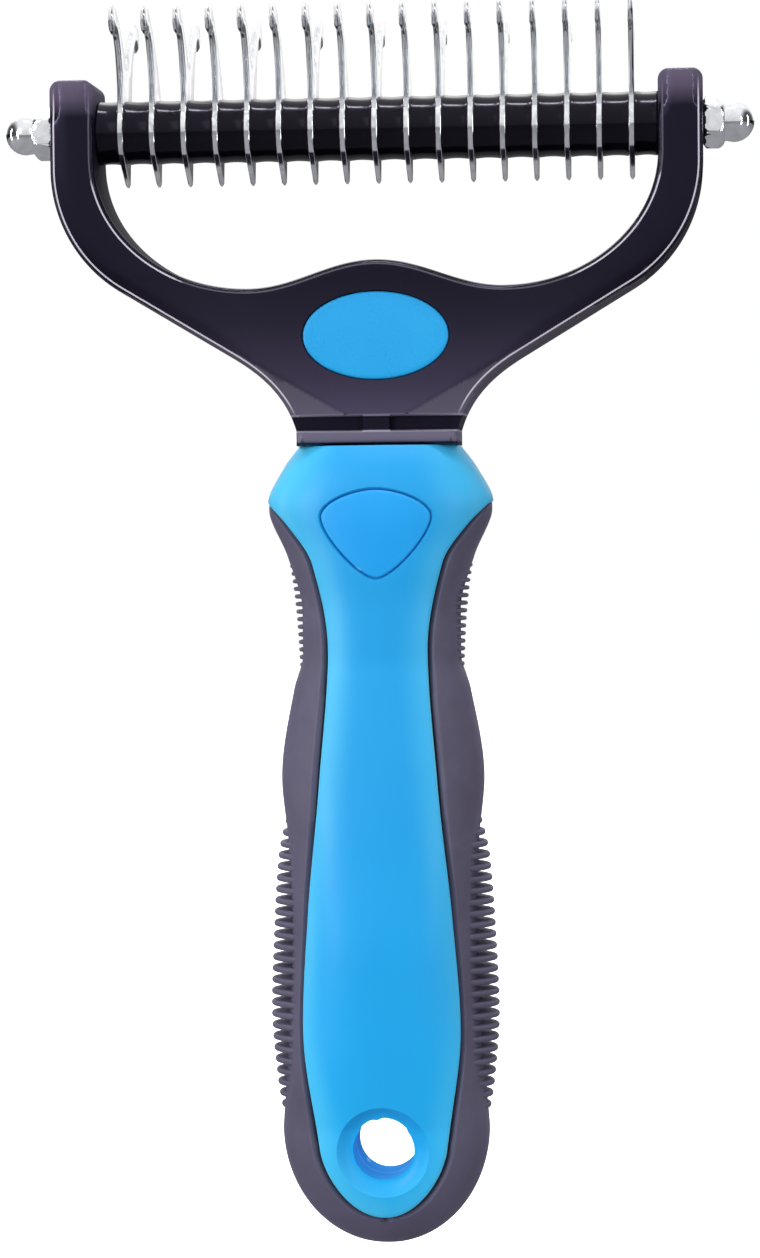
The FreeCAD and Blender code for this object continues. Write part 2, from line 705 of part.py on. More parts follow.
def build_spacer(number, start, end, centre_expression):
    """Spool-shaped spacer between two faces on the axle."""
    label = "spacer_%02d" % number
    body = new_body(label)
    half = 0.5 * (end - start)
    bore = size("axle_radius") + size("axle_clearance")
    rim, waist = size("spacer_rim_radius"), size("spacer_waist_radius")
    profile = [
        Part.LineSegment(V(-half, bore, 0), V(half, bore, 0)),
        Part.LineSegment(V(half, bore, 0), V(half, rim, 0)),
        Part.Arc(V(half, rim, 0), V(0, waist, 0), V(-half, rim, 0)),
        Part.LineSegment(V(-half, rim, 0), V(-half, bore, 0)),
    ]
    sketch = sketch_on(body, "XZ_Plane", label + "_profile", profile)
    turned = body.newObject("PartDesign::Revolution", label + "_turned")
    turned.Profile = sketch
    turned.ReferenceAxis = (sketch, ["H_Axis"])
    turned.Angle = 360.0
    body.setExpression(".Placement.Base.x", centre_expression)
    body.setExpression(".Placement.Base.z", cell("axle_height"))
    return body


def build_blade_pack():
    """All blades and the spacers between and beside them."""
    count = int(size("blade_count"))
    pitch, thickness = size("blade_pitch"), size("blade_thickness")
    first = -0.5 * (count - 1) * pitch
    last_face = -first + 0.5 * thickness
    ear = size("ear_inner_half_width")
    parts = [build_blade(number) for number in range(1, count + 1)]
    edge = "((Sizes.blade_count - 1) * Sizes.blade_pitch + Sizes.blade_thickness) / 2"
    middle = "(Sizes.ear_inner_half_width + " + edge + ") / 2"
    parts.append(build_spacer(1, -ear, -last_face, "-(" + middle + ")"))
    for number in range(2, count + 1):
        start = first + (number - 2) * pitch + 0.5 * thickness
        parts.append(
            build_spacer(
                number, start, start + pitch - thickness,
                "(%d - Sizes.blade_count / 2 - 1) * Sizes.blade_pitch" % number,
            )
        )
    parts.append(build_spacer(count + 1, last_face, ear, middle))
    return parts


# ---------------------------------------------------------------- handle


def pad_prism(gap):
    """Prism through the handle with the thumb pad's outline, widened by gap."""
    wide = size("pad_half_width") + gap
    top, shoulder = size("pad_top") + gap, size("pad_shoulder")
    bottom = size("pad_bottom") - gap
    curves = []
    for side in (1, -1):
        curves.append(hermite(
            V(0, 0, top), V(side * wide, 0, shoulder),
            V(side * 1.3 * wide, 0, 0), V(0, 0, -1.5 * (top - shoulder)),
        ))
        curves.append(hermite(
            V(side * wide, 0, shoulder), V(0, 0, bottom),
            V(0, 0, -0.9 * (shoulder - bottom)), V(-side * 0.9 * wide, 0, 0),
        ))
    wire = Part.Wire(Part.__sortEdges__([curve.toShape() for curve in curves]))
    face = Part.Face(wire)
    face.translate(V(0, -REACH, 0))
    return face.extrude(V(0, 2 * REACH, 0))


def half_space(side):
    """Large box on one side of the parting plane: side is -1 for the front half."""
    start = 0.0 if side > 0 else -REACH
    return Part.makeBox(2 * REACH, REACH, 6 * REACH, V(-REACH, start, -2 * REACH))


def hanging_hole():
    """Through hole with a dish at each end."""
    radius, dish, depth = size("hole_radius"), size("dish_radius"), size("dish_depth")
    face = handle_curve("_half_depth")(size("heel_height"))
    slope = (dish - radius) / depth
    cut = cylinder_y(radius, 0, 0, -REACH, REACH)
    for side in (-1, 1):
        start = V(0, side * (face - depth), 0)
        run = depth + MARGIN
        flare = Part.makeCone(radius, radius + slope * run, run, start, V(0, side, 0))
        cut = cut.fuse(flare)
    return cut


def hollow(seam):
    """Inside of the shells, divided by stiffening ribs."""
    bottom, top = size("cavity_bottom"), size("cavity_top")
    pitch, rib = size("stiffener_pitch"), size("stiffener_thickness")
    count = int((top - bottom) / pitch)
    bay = (top - bottom - (count - 1) * rib) / count
    bays = [slab(bottom + index * (bay + rib), bay) for index in range(count)]
    inside = handle_envelope(size("grip_thickness") + size("shell_wall"), seam)
    return inside.common(Part.makeCompound(bays))


def tang_slot():
    """Slot for the yoke's tang, open at the neck."""
    gap = size("tang_clearance")
    width, thickness = size("tang_width") + 2 * gap, size("tang_thickness") + 2 * gap
    bottom = size("neck_height") - size("tang_length") - gap
    height = size("tang_length") + gap + MARGIN
    return Part.makeBox(width, thickness, height, V(-0.5 * width, -0.5 * thickness, bottom))


def handle_shapes(seam):
    """Solids of the handle by name: two shells, the rubber grip and two thumb pads."""
    outer = handle_envelope(0.0, seam)
    core = handle_envelope(size("grip_thickness"), seam)
    blank = outer.common(panel_prism(0.0)).fuse(core)
    blank = blank.cut(hollow(seam)).cut(tang_slot()).cut(hanging_hole())
    pad_shell = outer.cut(handle_envelope(size("pad_depth"), seam))
    pocket = outer.cut(handle_envelope(size("pad_depth") + size("pad_gap"), seam))
    pocket = pocket.common(pad_prism(size("pad_gap")))
    blank = blank.cut(pocket)

    tang_face = 0.5 * size("tang_thickness")
    socket_radius = size("peg_radius") + size("peg_clearance")
    boss_radius = socket_radius + size("peg_boss_wall")
    front, rear = blank.common(half_space(-1)), blank.common(half_space(1))
    for alias in ("upper_peg_drop", "lower_peg_drop"):
        height = size("neck_height") - size(alias)
        wall = handle_curve("_half_depth")(height) - size("shell_wall")
        peg_end = tang_face + size("peg_depth")
        boss_start = tang_face + size("tang_clearance")
        socket_end = peg_end + size("peg_clearance")
        front = front.fuse(cylinder_y(size("peg_radius"), 0, height, -wall, peg_end))
        rear = rear.fuse(cylinder_y(boss_radius, 0, height, boss_start, wall))
        rear = rear.cut(cylinder_y(socket_radius, 0, height, 0, socket_end))

    gap = size("grip_clearance")
    grip = outer.cut(panel_prism(gap))
    grip = grip.cut(handle_envelope(size("grip_thickness") - gap, seam))
    pads = pad_shell.common(pad_prism(0.0))
    return {
        "handle_front_shell": front,
        "handle_rear_shell": rear,
        "grip_sleeve": grip,
        "thumb_pad_front": pads.common(half_space(-1)),
        "thumb_pad_rear": pads.common(half_space(1)),
    }


def is_sound(shapes):
    """Whether every shape is one valid solid and the two shells are about as large."""
    for shape in shapes.values():
        if shape.isNull() or not shape.isValid() or len(shape.Solids) != 1 or shape.Volume <= 0:
            return False
    front, rear = (shapes["handle_%s_shell" % side].Volume for side in ("front", "rear"))
    return abs(front - rear) < SHELL_LIKENESS * front


def build_handle():
    """Put the handle's solids into the document, from the first seam whose cuts come out sound."""
    for seam in SEAM_CHOICES:
        shapes = handle_shapes(seam)
        if is_sound(shapes):
            return [add_feature(label, shape) for label, shape in shapes.items()]
    raise RuntimeError("the handle's cuts fail at every seam")


def check_document():
    """Stop if any object of the document failed to build."""
    for item in doc.Objects:
        if "Invalid" in item.State or "Error" in item.State:
            raise RuntimeError("%s did not build: %s" % (item.Label, item.State))


def write_parts(parts):
    """Check every sub-part's solid and write it to its own file."""
    os.makedirs("parts", exist_ok=True)
    for part in parts:
        if part.Shape.isNull() or not part.Shape.isValid() or part.Shape.Volume <= 0:
            raise RuntimeError("%s has no valid solid" % part.Label)
    for part in parts:
        part.Shape.exportStep("parts/%s.step" % part.Label)


parts = [build_yoke(), build_axle()]
parts += [build_badge("badge_front", -1), build_badge("badge_rear", 1)]
parts += [build_cap_nut("cap_nut_left", -1), build_cap_nut("cap_nut_right", 1)]
parts += build_blade_pack()
parts += build_handle()
doc.recompute()
check_document()
write_parts(parts)
for part in parts:
    print(part.Label, len(part.Shape.Solids), round(part.Shape.Volume, 2))
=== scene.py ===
import logging
import math
from dataclasses import dataclass
from enum import Enum
from typing import Any, Callable, Optional, Sequence

import bmesh
import bpy
import numpy as np
from mathutils import Matrix, Vector
from mathutils.geometry import delaunay_2d_cdt

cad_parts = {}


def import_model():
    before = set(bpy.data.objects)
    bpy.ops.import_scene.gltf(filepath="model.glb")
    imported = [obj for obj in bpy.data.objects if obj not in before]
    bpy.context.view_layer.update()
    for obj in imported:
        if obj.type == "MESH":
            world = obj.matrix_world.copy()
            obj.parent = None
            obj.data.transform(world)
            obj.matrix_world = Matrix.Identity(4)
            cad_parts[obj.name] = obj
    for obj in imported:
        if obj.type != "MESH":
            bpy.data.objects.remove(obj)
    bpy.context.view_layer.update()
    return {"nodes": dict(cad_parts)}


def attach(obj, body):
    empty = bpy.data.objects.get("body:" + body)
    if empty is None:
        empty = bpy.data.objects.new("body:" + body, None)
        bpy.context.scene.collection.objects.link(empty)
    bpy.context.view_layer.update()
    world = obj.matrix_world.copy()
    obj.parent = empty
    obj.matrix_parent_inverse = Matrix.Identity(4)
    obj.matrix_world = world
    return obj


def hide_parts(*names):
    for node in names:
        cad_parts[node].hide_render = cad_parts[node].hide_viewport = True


# Dematting comb: looks only. Every size is in millimetres in the CAD's own frame (origin in
# the hanging hole, +Z to the blades, -Y to the fine side) and becomes metres in the mesh.

MM = 0.001
AXLE_HEIGHT = 157.0
BLADE_COUNT = 17
BLADE_PITCH = 4.89
BLADE_THICKNESS = 0.8
EAR_INNER = 43.1
EAR_MIDDLE = 46.5
YOKE_HALF_DEPTH = 6.6
NECK_HEIGHT = 108.3
SMOOTH_LIMIT = math.radians(38.0)
ROW_STEP = 0.87          # distance of staggered rows, as a share of their points' spacing
MIRROR = np.array([-1.0, 1.0])
WHITE = "#ffffff"

log = logging.getLogger("dematting_comb")
Curve = Callable[[np.ndarray], np.ndarray]


class Face(Enum):
    """Which face of the comb a piece lies on: the sign of its depth."""

    FRONT = -1.0
    REAR = 1.0


# ---------------------------------------------------------------- curves and outlines


def smooth_curve(points: Sequence[tuple[float, float]]) -> Curve:
    """Monotone cubic through a few stations.

    Args:
        points: (height, value) pairs.
    Returns:
        A function from heights to values.
    """
    table = np.array(sorted(points), float)
    heights, values = table[:, 0], table[:, 1]
    rises = np.diff(values) / np.diff(heights)
    slopes = np.empty(len(values))
    slopes[0], slopes[-1] = rises[0], rises[-1]
    for index in range(1, len(values) - 1):
        before, after = rises[index - 1], rises[index]
        together = before * after
        slopes[index] = 2.0 * together / (before + after) if together > 0.0 else 0.0

    def value_at(height: np.ndarray) -> np.ndarray:
        """The curve's values, level beyond its first and last station."""
        height = np.clip(np.asarray(height, float), heights[0], heights[-1])
        index = np.clip(np.searchsorted(heights, height) - 1, 0, len(rises) - 1)
        step = heights[index + 1] - heights[index]
        share = (height - heights[index]) / step
        rest = 1.0 - share
        return (
            values[index] * (1.0 + 2.0 * share) * rest ** 2
            + slopes[index] * step * share * rest ** 2
            + values[index + 1] * share ** 2 * (3.0 - 2.0 * share)
            - slopes[index + 1] * step * share ** 2 * rest
        )

    return value_at


def smooth_step(value: np.ndarray, start: float, end: float) -> np.ndarray:
    """Soft ramp from 0 at start to 1 at end."""
    share = np.clip((value - start) / (end - start), 0.0, 1.0)
    return share * share * (3.0 - 2.0 * share)


def hermite(start: tuple, end: tuple, leave: tuple, arrive: tuple, count: int = 40) -> np.ndarray:
    """Points of a smooth curve between two points.

    Args:
        start: first point.
        end: last point.
        leave: direction and pull at the start.
        arrive: direction and pull at the end.
        count: number of points.
    Returns:
        An array of flat points.
    """
    share = np.linspace(0.0, 1.0, count)[:, None]
    rest = 1.0 - share
    return (
        np.array(start) * (1.0 + 2.0 * share) * rest ** 2
        + np.array(leave) * share * rest ** 2
        + np.array(end) * share ** 2 * (3.0 - 2.0 * share)
        - np.array(arrive) * share ** 2 * rest
    )


def arc(centre: tuple, radius: float, start: float, end: float, count: int = 24) -> np.ndarray:
    """Points of a circle's arc, from start to end in degrees."""
    angle = np.radians(np.linspace(start, end, count))
    return np.stack(
        [centre[0] + radius * np.cos(angle), centre[1] + radius * np.sin(angle)], axis=1
    )


def even_steps(line: np.ndarray, step: float) -> np.ndarray:
    """Points at even steps along an open line, its two ends included.

    Args:
        line: the line's points.
        step: the wished spacing.
    Returns:
        The new points.
    """
    reach = np.concatenate([[0.0], np.cumsum(np.linalg.norm(np.diff(line, axis=0), axis=1))])
    count = max(2, int(round(reach[-1] / step)) + 1)
    places = np.linspace(0.0, reach[-1], count)
    return np.stack([np.interp(places, reach, line[:, axis]) for axis in (0, 1)], axis=1)


def straight(start: Sequence[float], end: Sequence[float], step: float) -> np.ndarray:
    """Points at even steps from one point to another, both included."""
    return even_steps(np.array([start, end]), step)


def chain(parts: Sequence[np.ndarray]) -> np.ndarray:
    """Lines joined end to end, without points on top of each other."""
    points = np.concatenate(parts)
    keep = np.ones(len(points), bool)
    keep[1:] = np.linalg.norm(np.diff(points, axis=0), axis=1) > 1e-4
    return points[keep]


def closed_loop(points: np.ndarray) -> np.ndarray:
    """The same loop, anticlockwise and without a doubled end."""
    if np.linalg.norm(points[0] - points[-1]) < 1e-4:
        points = points[:-1]
    following = np.roll(points, -1, axis=0)
    area = np.sum(points[:, 0] * following[:, 1] - points[:, 1] * following[:, 0])
    return points if area > 0.0 else points[::-1]


def inset_loop(loop: np.ndarray, distance: Any) -> np.ndarray:
    """An anticlockwise loop moved inwards.

    Args:
        loop: its points.
        distance: how far the points move along their inward normals, one for all or each.
    Returns:
        The moved points, as many as before.
    """
    along = np.roll(loop, -1, axis=0) - loop
    along /= np.linalg.norm(along, axis=1, keepdims=True)
    before = np.roll(along, 1, axis=0)
    normal = np.stack([-(along + before)[:, 1], (along + before)[:, 0]], axis=1)
    normal /= np.maximum(np.linalg.norm(normal, axis=1, keepdims=True), 1e-9)
    turn = np.clip(np.sum(normal * np.stack([-along[:, 1], along[:, 0]], axis=1), axis=1), 0.5, 1.0)
    return loop + normal * (distance / turn)[:, None]


def depth_inside(points: np.ndarray, loop: np.ndarray) -> np.ndarray:
    """How far points lie inside a loop; negative outside.

    Args:
        points: flat points.
        loop: the loop's points.
    Returns:
        One distance for each point.
    """
    result = np.empty(len(points))
    start, end = loop, np.roll(loop, -1, axis=0)
    edge = end - start
    length = np.maximum(np.sum(edge ** 2, axis=1), 1e-12)
    for first in range(0, len(points), 2000):
        batch = points[first:first + 2000, None, :]
        share = np.clip(np.sum((batch - start) * edge, axis=2) / length, 0.0, 1.0)
        gap = np.linalg.norm(batch - start - share[..., None] * edge, axis=2).min(axis=1)
        above = (start[:, 1] > batch[..., 1]) != (end[:, 1] > batch[..., 1])
        rise = np.where(np.abs(edge[:, 1]) < 1e-12, 1e-12, edge[:, 1])
        cross = start[:, 0] + (batch[..., 1] - start[:, 1]) / rise * edge[:, 0]
        inside = np.sum(above & (batch[..., 0] < cross), axis=1) % 2 == 1
        result[first:first + 2000] = np.where(inside, gap, -gap)
    return result


def fill_region(
    loops: Sequence[np.ndarray], loose: np.ndarray, keep: Callable[[np.ndarray], np.ndarray]
) -> tuple[np.ndarray, np.ndarray]:
    """Triangles over a flat region, along its loops and through loose points.

    Args:
        loops: closed loops that the triangles follow.
        loose: further points inside.
        keep: tells from their centres which triangles belong to the region.
    Returns:
        The points and the triangles, anticlockwise.
    """
    points, edges = [], []
    for loop in loops:
        base = len(points)
        points += [Vector(point) for point in loop]
        edges += [(base + i, base + (i + 1) % len(loop)) for i in range(len(loop))]
    points += [Vector(point) for point in loose]
    out = delaunay_2d_cdt(points, edges, [], 0, 1e-5)
    flat = np.array([tuple(point) for point in out[0]], float)
    triangles = np.array([face for face in out[2] if len(face) == 3], int)
    triangles = triangles[keep(flat[triangles].mean(axis=1))]
    a, b, c = (flat[triangles[:, corner]] for corner in range(3))
    turned = (b - a)[:, 0] * (c - a)[:, 1] - (b - a)[:, 1] * (c - a)[:, 0] < 0.0
    triangles[turned] = triangles[turned][:, ::-1]
    used, renumbered = np.unique(triangles, return_inverse=True)
    return flat[used], renumbered.reshape(-1, 3)


def mesh_points(
    low: tuple, high: tuple, spacing: float, inside: Callable[[np.ndarray], np.ndarray]
) -> np.ndarray:
    """Evenly staggered points in a flat region.

    Args:
        low: the region's lower left corner.
        high: its upper right corner.
        spacing: distance between the points of a row.
        inside: tells which points are wanted.
    Returns:
        The wanted points.
    """
    rows = []
    for index, z in enumerate(np.arange(low[1], high[1], spacing * ROW_STEP)):
        across = np.arange(low[0] + 0.5 * spacing * (index % 2), high[0], spacing)
        rows.append(np.stack([across, np.full(len(across), z)], axis=1))
    points = np.concatenate(rows)
    return points[inside(points)]


# ---------------------------------------------------------------- meshes


def add_object(name: str, data: Any) -> bpy.types.Object:
    """A new object with its data, linked into the scene."""
    piece = bpy.data.objects.new(name, data)
    bpy.context.scene.collection.objects.link(piece)
    return piece


def new_mesh(
    name: str, points: np.ndarray, faces: Sequence, material: bpy.types.Material,
    closed: bool = False,
) -> bpy.types.Object:
    """A smooth-shaded object from points in millimetres.

    Args:
        name: the object's name.
        points: its points.
        faces: its faces, outward.
        material: its finish.
        closed: whether it is a closed shape, whose slits are filled and faces turned outward.
    Returns:
        The object, at the origin.
    """
    mesh = bpy.data.meshes.new(name)
    mesh.from_pydata((np.asarray(points) * MM).tolist(), [], [list(map(int, f)) for f in faces])
    tidy = bmesh.new()
    tidy.from_mesh(mesh)
    bmesh.ops.remove_doubles(tidy, verts=tidy.verts, dist=2e-6)
    bmesh.ops.dissolve_degenerate(tidy, edges=tidy.edges, dist=1e-7)
    if closed:
        bmesh.ops.holes_fill(tidy, edges=tidy.edges, sides=8)
        bmesh.ops.recalc_face_normals(tidy, faces=tidy.faces)
    tidy.to_mesh(mesh)
    tidy.free()
    mesh.validate()
    mesh.materials.append(material)
    mesh.shade_smooth()
    mesh.set_sharp_from_angle(angle=SMOOTH_LIMIT)
    return add_object(name, mesh)


def mark(piece: bpy.types.Object, label: str, share: Callable[[np.ndarray], np.ndarray]) -> None:
    """Note a share from 0 to 1 on every point of a piece, for its material.

    Args:
        piece: the piece.
        label: the attribute's name.
        share: the value for points in millimetres.
    """
    points = np.empty(3 * len(piece.data.vertices), np.float32)
    piece.data.vertices.foreach_get("co", points)
    layer = piece.data.attributes.new(label, "FLOAT", "POINT")
    layer.data.foreach_set("value", share(points.reshape(-1, 3) / MM).astype(np.float32))


def grid_faces(rows: int, columns: int, wrap: bool = False) -> list[tuple[int, int, int, int]]:
    """Four-sided faces over rows of points, closed round each row if wrap is set."""
    last = columns if wrap else columns - 1
    return [
        (r * columns + c, r * columns + (c + 1) % columns,
         (r + 1) * columns + (c + 1) % columns, (r + 1) * columns + c)
        for r in range(rows - 1)
        for c in range(last)
    ]


def flipped(faces: Sequence) -> list[tuple[int, ...]]:
    """The same faces turned over."""
    return [tuple(reversed(face)) for face in faces]


def shifted(faces: Sequence, base: int) -> list[tuple[int, ...]]:
    """The same faces over points that start at base."""
    return [tuple(base + corner for corner in face) for face in faces]


def thicken(piece: bpy.types.Object, wall: float) -> None:
    """Give an open skin a wall on its inner side, as mesh."""
    solidify = piece.modifiers.new("Wall", "SOLIDIFY")
    solidify.thickness = wall * MM
    solidify.offset = -1.0
    bake_modifiers(piece)


def bake_modifiers(piece: bpy.types.Object) -> None:
    """Turn a piece and its modifiers into a plain mesh."""
    view = bpy.context.evaluated_depsgraph_get()
    view.update()
    mesh = bpy.data.meshes.new_from_object(piece.evaluated_get(view), depsgraph=view)
    mesh.name = piece.name
    piece.modifiers.clear()
    piece.data = mesh
    mesh.set_sharp_from_angle(angle=SMOOTH_LIMIT)


def settle(piece: bpy.types.Object, slot: str, *nodes: str) -> bpy.types.Object:
    """Let a piece stand for its CAD nodes and ride with the comb."""
    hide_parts(*nodes)
    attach(piece, "root")
    log.info("%s: %d faces for %s", piece.name, len(piece.data.polygons), ", ".join(nodes))
    return piece


# ---------------------------------------------------------------- node helpers


def add_node(
    tree: bpy.types.NodeTree, kind: str, inputs: Optional[dict] = None, **settings: Any
) -> Any:
    """Add one node with its settings, values and links.

    Args:
        tree: the tree it goes into.
        kind: the node's type.
        inputs: a value, or a socket to link from, for each input's name or number.
        settings: the node's own properties.
    Returns:
        The node.
    """
    node = tree.nodes.new(kind)
    for name, value in settings.items():
        setattr(node, name, value)
    for name, value in (inputs or {}).items():
        if isinstance(value, bpy.types.NodeSocket):
            tree.links.new(value, node.inputs[name])
        else:
            node.inputs[name].default_value = value
    return node


def linear_colour(text: str) -> tuple[float, float, float, float]:
    """An sRGB hex colour as linear red, green, blue and full alpha."""
    shares = [int(text[i:i + 2], 16) / 255.0 for i in (1, 3, 5)]
    red, green, blue = (s / 12.92 if s <= 0.04045 else ((s + 0.055) / 1.055) ** 2.4 for s in shares)
    return red, green, blue, 1.0


def ramp(tree: bpy.types.NodeTree, factor: Any, stops: Sequence[tuple[float, str]]) -> Any:
    """The colour of a ramp driven by a factor, its stops as place and hex colour."""
    node = add_node(tree, "ShaderNodeValToRGB", {"Fac": factor})
    elements = node.color_ramp.elements
    while len(elements) < len(stops):
        elements.new(0.5)
    for element, (place, text) in zip(elements, stops):
        element.position = place
        element.color = linear_colour(text)
    return node.outputs["Color"]


def maths(tree: bpy.types.NodeTree, operation: str, *values: Any) -> Any:
    """The result of a calculation with numbers or sockets."""
    return add_node(
        tree, "ShaderNodeMath", dict(enumerate(values)), operation=operation).outputs["Value"]


def ranged(
    tree: bpy.types.NodeTree, value: Any, given: tuple, wanted: tuple, **settings: Any
) -> Any:
    """A value carried over from one range to another.

    Args:
        tree: the tree it goes into.
        value: socket with the value.
        given: the range it comes in.
        wanted: the range it leaves in.
        settings: the node's own properties.
    Returns:
        The socket with the new value.
    """
    return add_node(tree, "ShaderNodeMapRange", {
        "Value": value, "From Min": given[0], "From Max": given[1],
        "To Min": wanted[0], "To Max": wanted[1]}, **settings).outputs["Result"]


def blended(tree: bpy.types.NodeTree, factor: Any, first: Any, second: Any, **settings: Any) -> Any:
    """A mix of two colours, or of two numbers if the settings say so."""
    settings.setdefault("data_type", "RGBA")
    return add_node(tree, "ShaderNodeMix", {
        "Factor": factor, "A": first, "B": second}, **settings).outputs["Result"]


def noise(
    tree: bpy.types.NodeTree, place: Any, scale: float, detail: float,
    roughness: float = 0.5, distortion: float = 0.0,
) -> Any:
    """The level of a noise texture.

    Args:
        tree: the tree it goes into.
        place: socket with the coordinates.
        scale: how fine it is.
        detail: how many finer layers it has.
        roughness: how strong those are.
        distortion: how far it is swirled.
    Returns:
        The socket with the level.
    """
    return add_node(tree, "ShaderNodeTexNoise", {
        "Vector": place, "Scale": scale, "Detail": detail, "Roughness": roughness,
        "Distortion": distortion}).outputs["Fac"]


def bumped(tree: bpy.types.NodeTree, height: Any, strength: float, depth: float) -> Any:
    """The normal of a fine relief, its depth in millimetres."""
    return add_node(tree, "ShaderNodeBump", {
        "Height": height, "Strength": strength, "Distance": depth * MM}).outputs["Normal"]


def marked(tree: bpy.types.NodeTree, label: str) -> Any:
    """The share that the mesh notes under a label."""
    return add_node(tree, "ShaderNodeAttribute", attribute_name=label).outputs["Fac"]


def worn_edges(
    tree: bpy.types.NodeTree, colour: Any, edge: str, start: float, most: float
) -> Any:
    """A colour lightened along the edges that stand out, as handling does.

    Args:
        tree: the tree it goes into.
        colour: socket with the colour.
        edge: the colour of a worn edge.
        start: pointiness from which it shows.
        most: its largest share.
    Returns:
        The socket with the new colour.
    """
    surface = add_node(tree, "ShaderNodeNewGeometry")
    worn = ranged(tree, surface.outputs["Pointiness"], (start, 0.62), (0.0, most))
    return blended(tree, worn, colour, linear_colour(edge))


def open_material(name: str) -> tuple[bpy.types.Material, bpy.types.NodeTree, Any]:
    """An empty material, its tree and the socket with the point's coordinates."""
    material = bpy.data.materials.new(name)
    material.use_nodes = True
    tree = material.node_tree
    tree.nodes.clear()
    return material, tree, add_node(tree, "ShaderNodeTexCoord").outputs["Object"]


def close_material(material: bpy.types.Material, inputs: dict) -> bpy.types.Material:
    """Give a material its shader, with these inputs, and its output."""
    shader = add_node(material.node_tree, "ShaderNodeBsdfPrincipled", inputs)
    add_node(material.node_tree, "ShaderNodeOutputMaterial", {"Surface": shader.outputs["BSDF"]})
    return material


def per_mm(size: float) -> float:
    """Texture scale for a pattern that repeats about every size millimetres."""
    return 1.0 / (size * MM)


@dataclass(frozen=True)
class MouldedPlastic:
    """Injection-moulded ABS: even colour, fine mould texture, polished skin."""

    name: str
    colour: str
    shade: str
    edge: str
    roughness: float = 0.3
    roughness_spread: float = 0.12
    gleam: float = 0.3         # specular level: 0.5 is plain plastic, less is a darker mirror
    gleam_tint: str = WHITE
    sheen: float = 0.0         # paler where the surface turns away
    # painted light: colour added at set heights, standing in for light and reflections
    painted_light_by_height: tuple[tuple[float, str], ...] = ()   # colour added at heights in millimetres
    # painted highlight colour, mixed in where the mesh marks painted light
    pale: str = "#d6d0dc"      # colour of the bright rim where the mesh says "paleness"
    flow_mm: float = 22.0      # size of the faint flow clouds
    grain_mm: float = 0.45     # mould texture, drawn coarser than the real 0.1 mm so that it shows
    scratch_mm: float = 1.6    # spacing of hairline scuffs
    grain_depth: float = 0.010
    matting: float = 0.6       # roughness added where the mesh says "mattness"
    ior: float = 1.53

    def build(self) -> bpy.types.Material:
        """Make the material.

        Returns:
            The finished material.
        """
        material, tree, place = open_material(self.name)
        clouds = noise(tree, place, per_mm(self.flow_mm), 3.0, distortion=0.6)
        colour = ramp(tree, clouds, [(0.32, self.shade), (0.68, self.colour)])
        # painted light added by height
        if self.painted_light_by_height:
            colour = self.add_painted_light_by_height(tree, place, colour)
        colour = worn_edges(tree, colour, self.edge, 0.54, 0.55)
        # painted highlights and painted light: the colour turns pale where the mesh marks them
        colour = blended(tree, marked(tree, "paleness"), colour, linear_colour(self.pale))
        grain = noise(tree, place, per_mm(self.grain_mm), 4.0, roughness=0.6)
        stretched = add_node(tree, "ShaderNodeMapping", {
            "Vector": place, "Rotation": (0.3, 0.2, 0.5), "Scale": (1.0, 1.0, 0.06)})
        scuffs = noise(
            tree, stretched.outputs["Vector"], per_mm(self.scratch_mm), 6.0, roughness=0.75)
        mixed = maths(tree, "MULTIPLY", grain, scuffs)
        spread = self.roughness_spread
        gloss = ranged(
            tree, mixed, (0.15, 0.40), (self.roughness - spread, self.roughness + spread))
        return close_material(material, {
            "Base Color": colour,
            "Roughness": maths(tree, "MULTIPLY_ADD", marked(tree, "mattness"), self.matting, gloss),
            "Normal": bumped(tree, mixed, 0.35, self.grain_depth), "IOR": self.ior,
            "Specular IOR Level": self.gleam, "Specular Tint": linear_colour(self.gleam_tint),
            "Sheen Weight": self.sheen, "Sheen Roughness": 0.5,
            "Sheen Tint": linear_colour(self.edge)})

    def add_painted_light_by_height(self, tree: bpy.types.NodeTree, place: Any, colour: Any) -> Any:
        """Add the painted light to a colour by height.

        Args:
            tree: the material's tree.
            place: socket with the point's coordinates.
            colour: socket with the colour so far.
        Returns:
            The socket with the new colour.
        """
        low, high = self.painted_light_by_height[0][0], self.painted_light_by_height[-1][0]
        split = add_node(tree, "ShaderNodeSeparateXYZ", {"Vector": place})
        share = ranged(tree, split.outputs["Z"], (low * MM, high * MM), (0.0, 1.0))
        stops = [((height - low) / (high - low), text) for height, text in self.painted_light_by_height]
        return blended(tree, 1.0, colour, ramp(tree, share, stops), blend_type="ADD")


@dataclass(frozen=True)
class SoftRubber:
    """Overmoulded TPR: matt, velvety, a little lighter where it turns away."""

    name: str
    colour: str
    shade: str
    edge: str
    roughness: float = 0.62
    grain_mm: float = 0.5      # spark-eroded mould grain, real 0.15 mm, drawn coarser to show
    cloud_mm: float = 14.0

    def build(self) -> bpy.types.Material:
        """Make the material.

        Returns:
            The finished material.
        """
        material, tree, place = open_material(self.name)
        clouds = noise(tree, place, per_mm(self.cloud_mm), 4.0, distortion=0.4)
        tint = ramp(tree, clouds, [(0.3, self.shade), (0.7, self.colour)])
        grain = add_node(tree, "ShaderNodeTexVoronoi", {
            "Vector": place, "Scale": per_mm(self.grain_mm), "Randomness": 1.0})
        soil = noise(tree, place, per_mm(3.0), 5.0)
        return close_material(material, {
            "Base Color": worn_edges(tree, tint, self.edge, 0.53, 0.6),
            "Roughness": ranged(
                tree, soil, (0.3, 0.7), (self.roughness - 0.1, self.roughness + 0.1)),
            "Normal": bumped(tree, grain.outputs["Distance"], 0.45, 0.03), "IOR": 1.5,
            "Sheen Weight": 0.25, "Sheen Roughness": 0.45,
            "Sheen Tint": linear_colour("#8f86a8")})


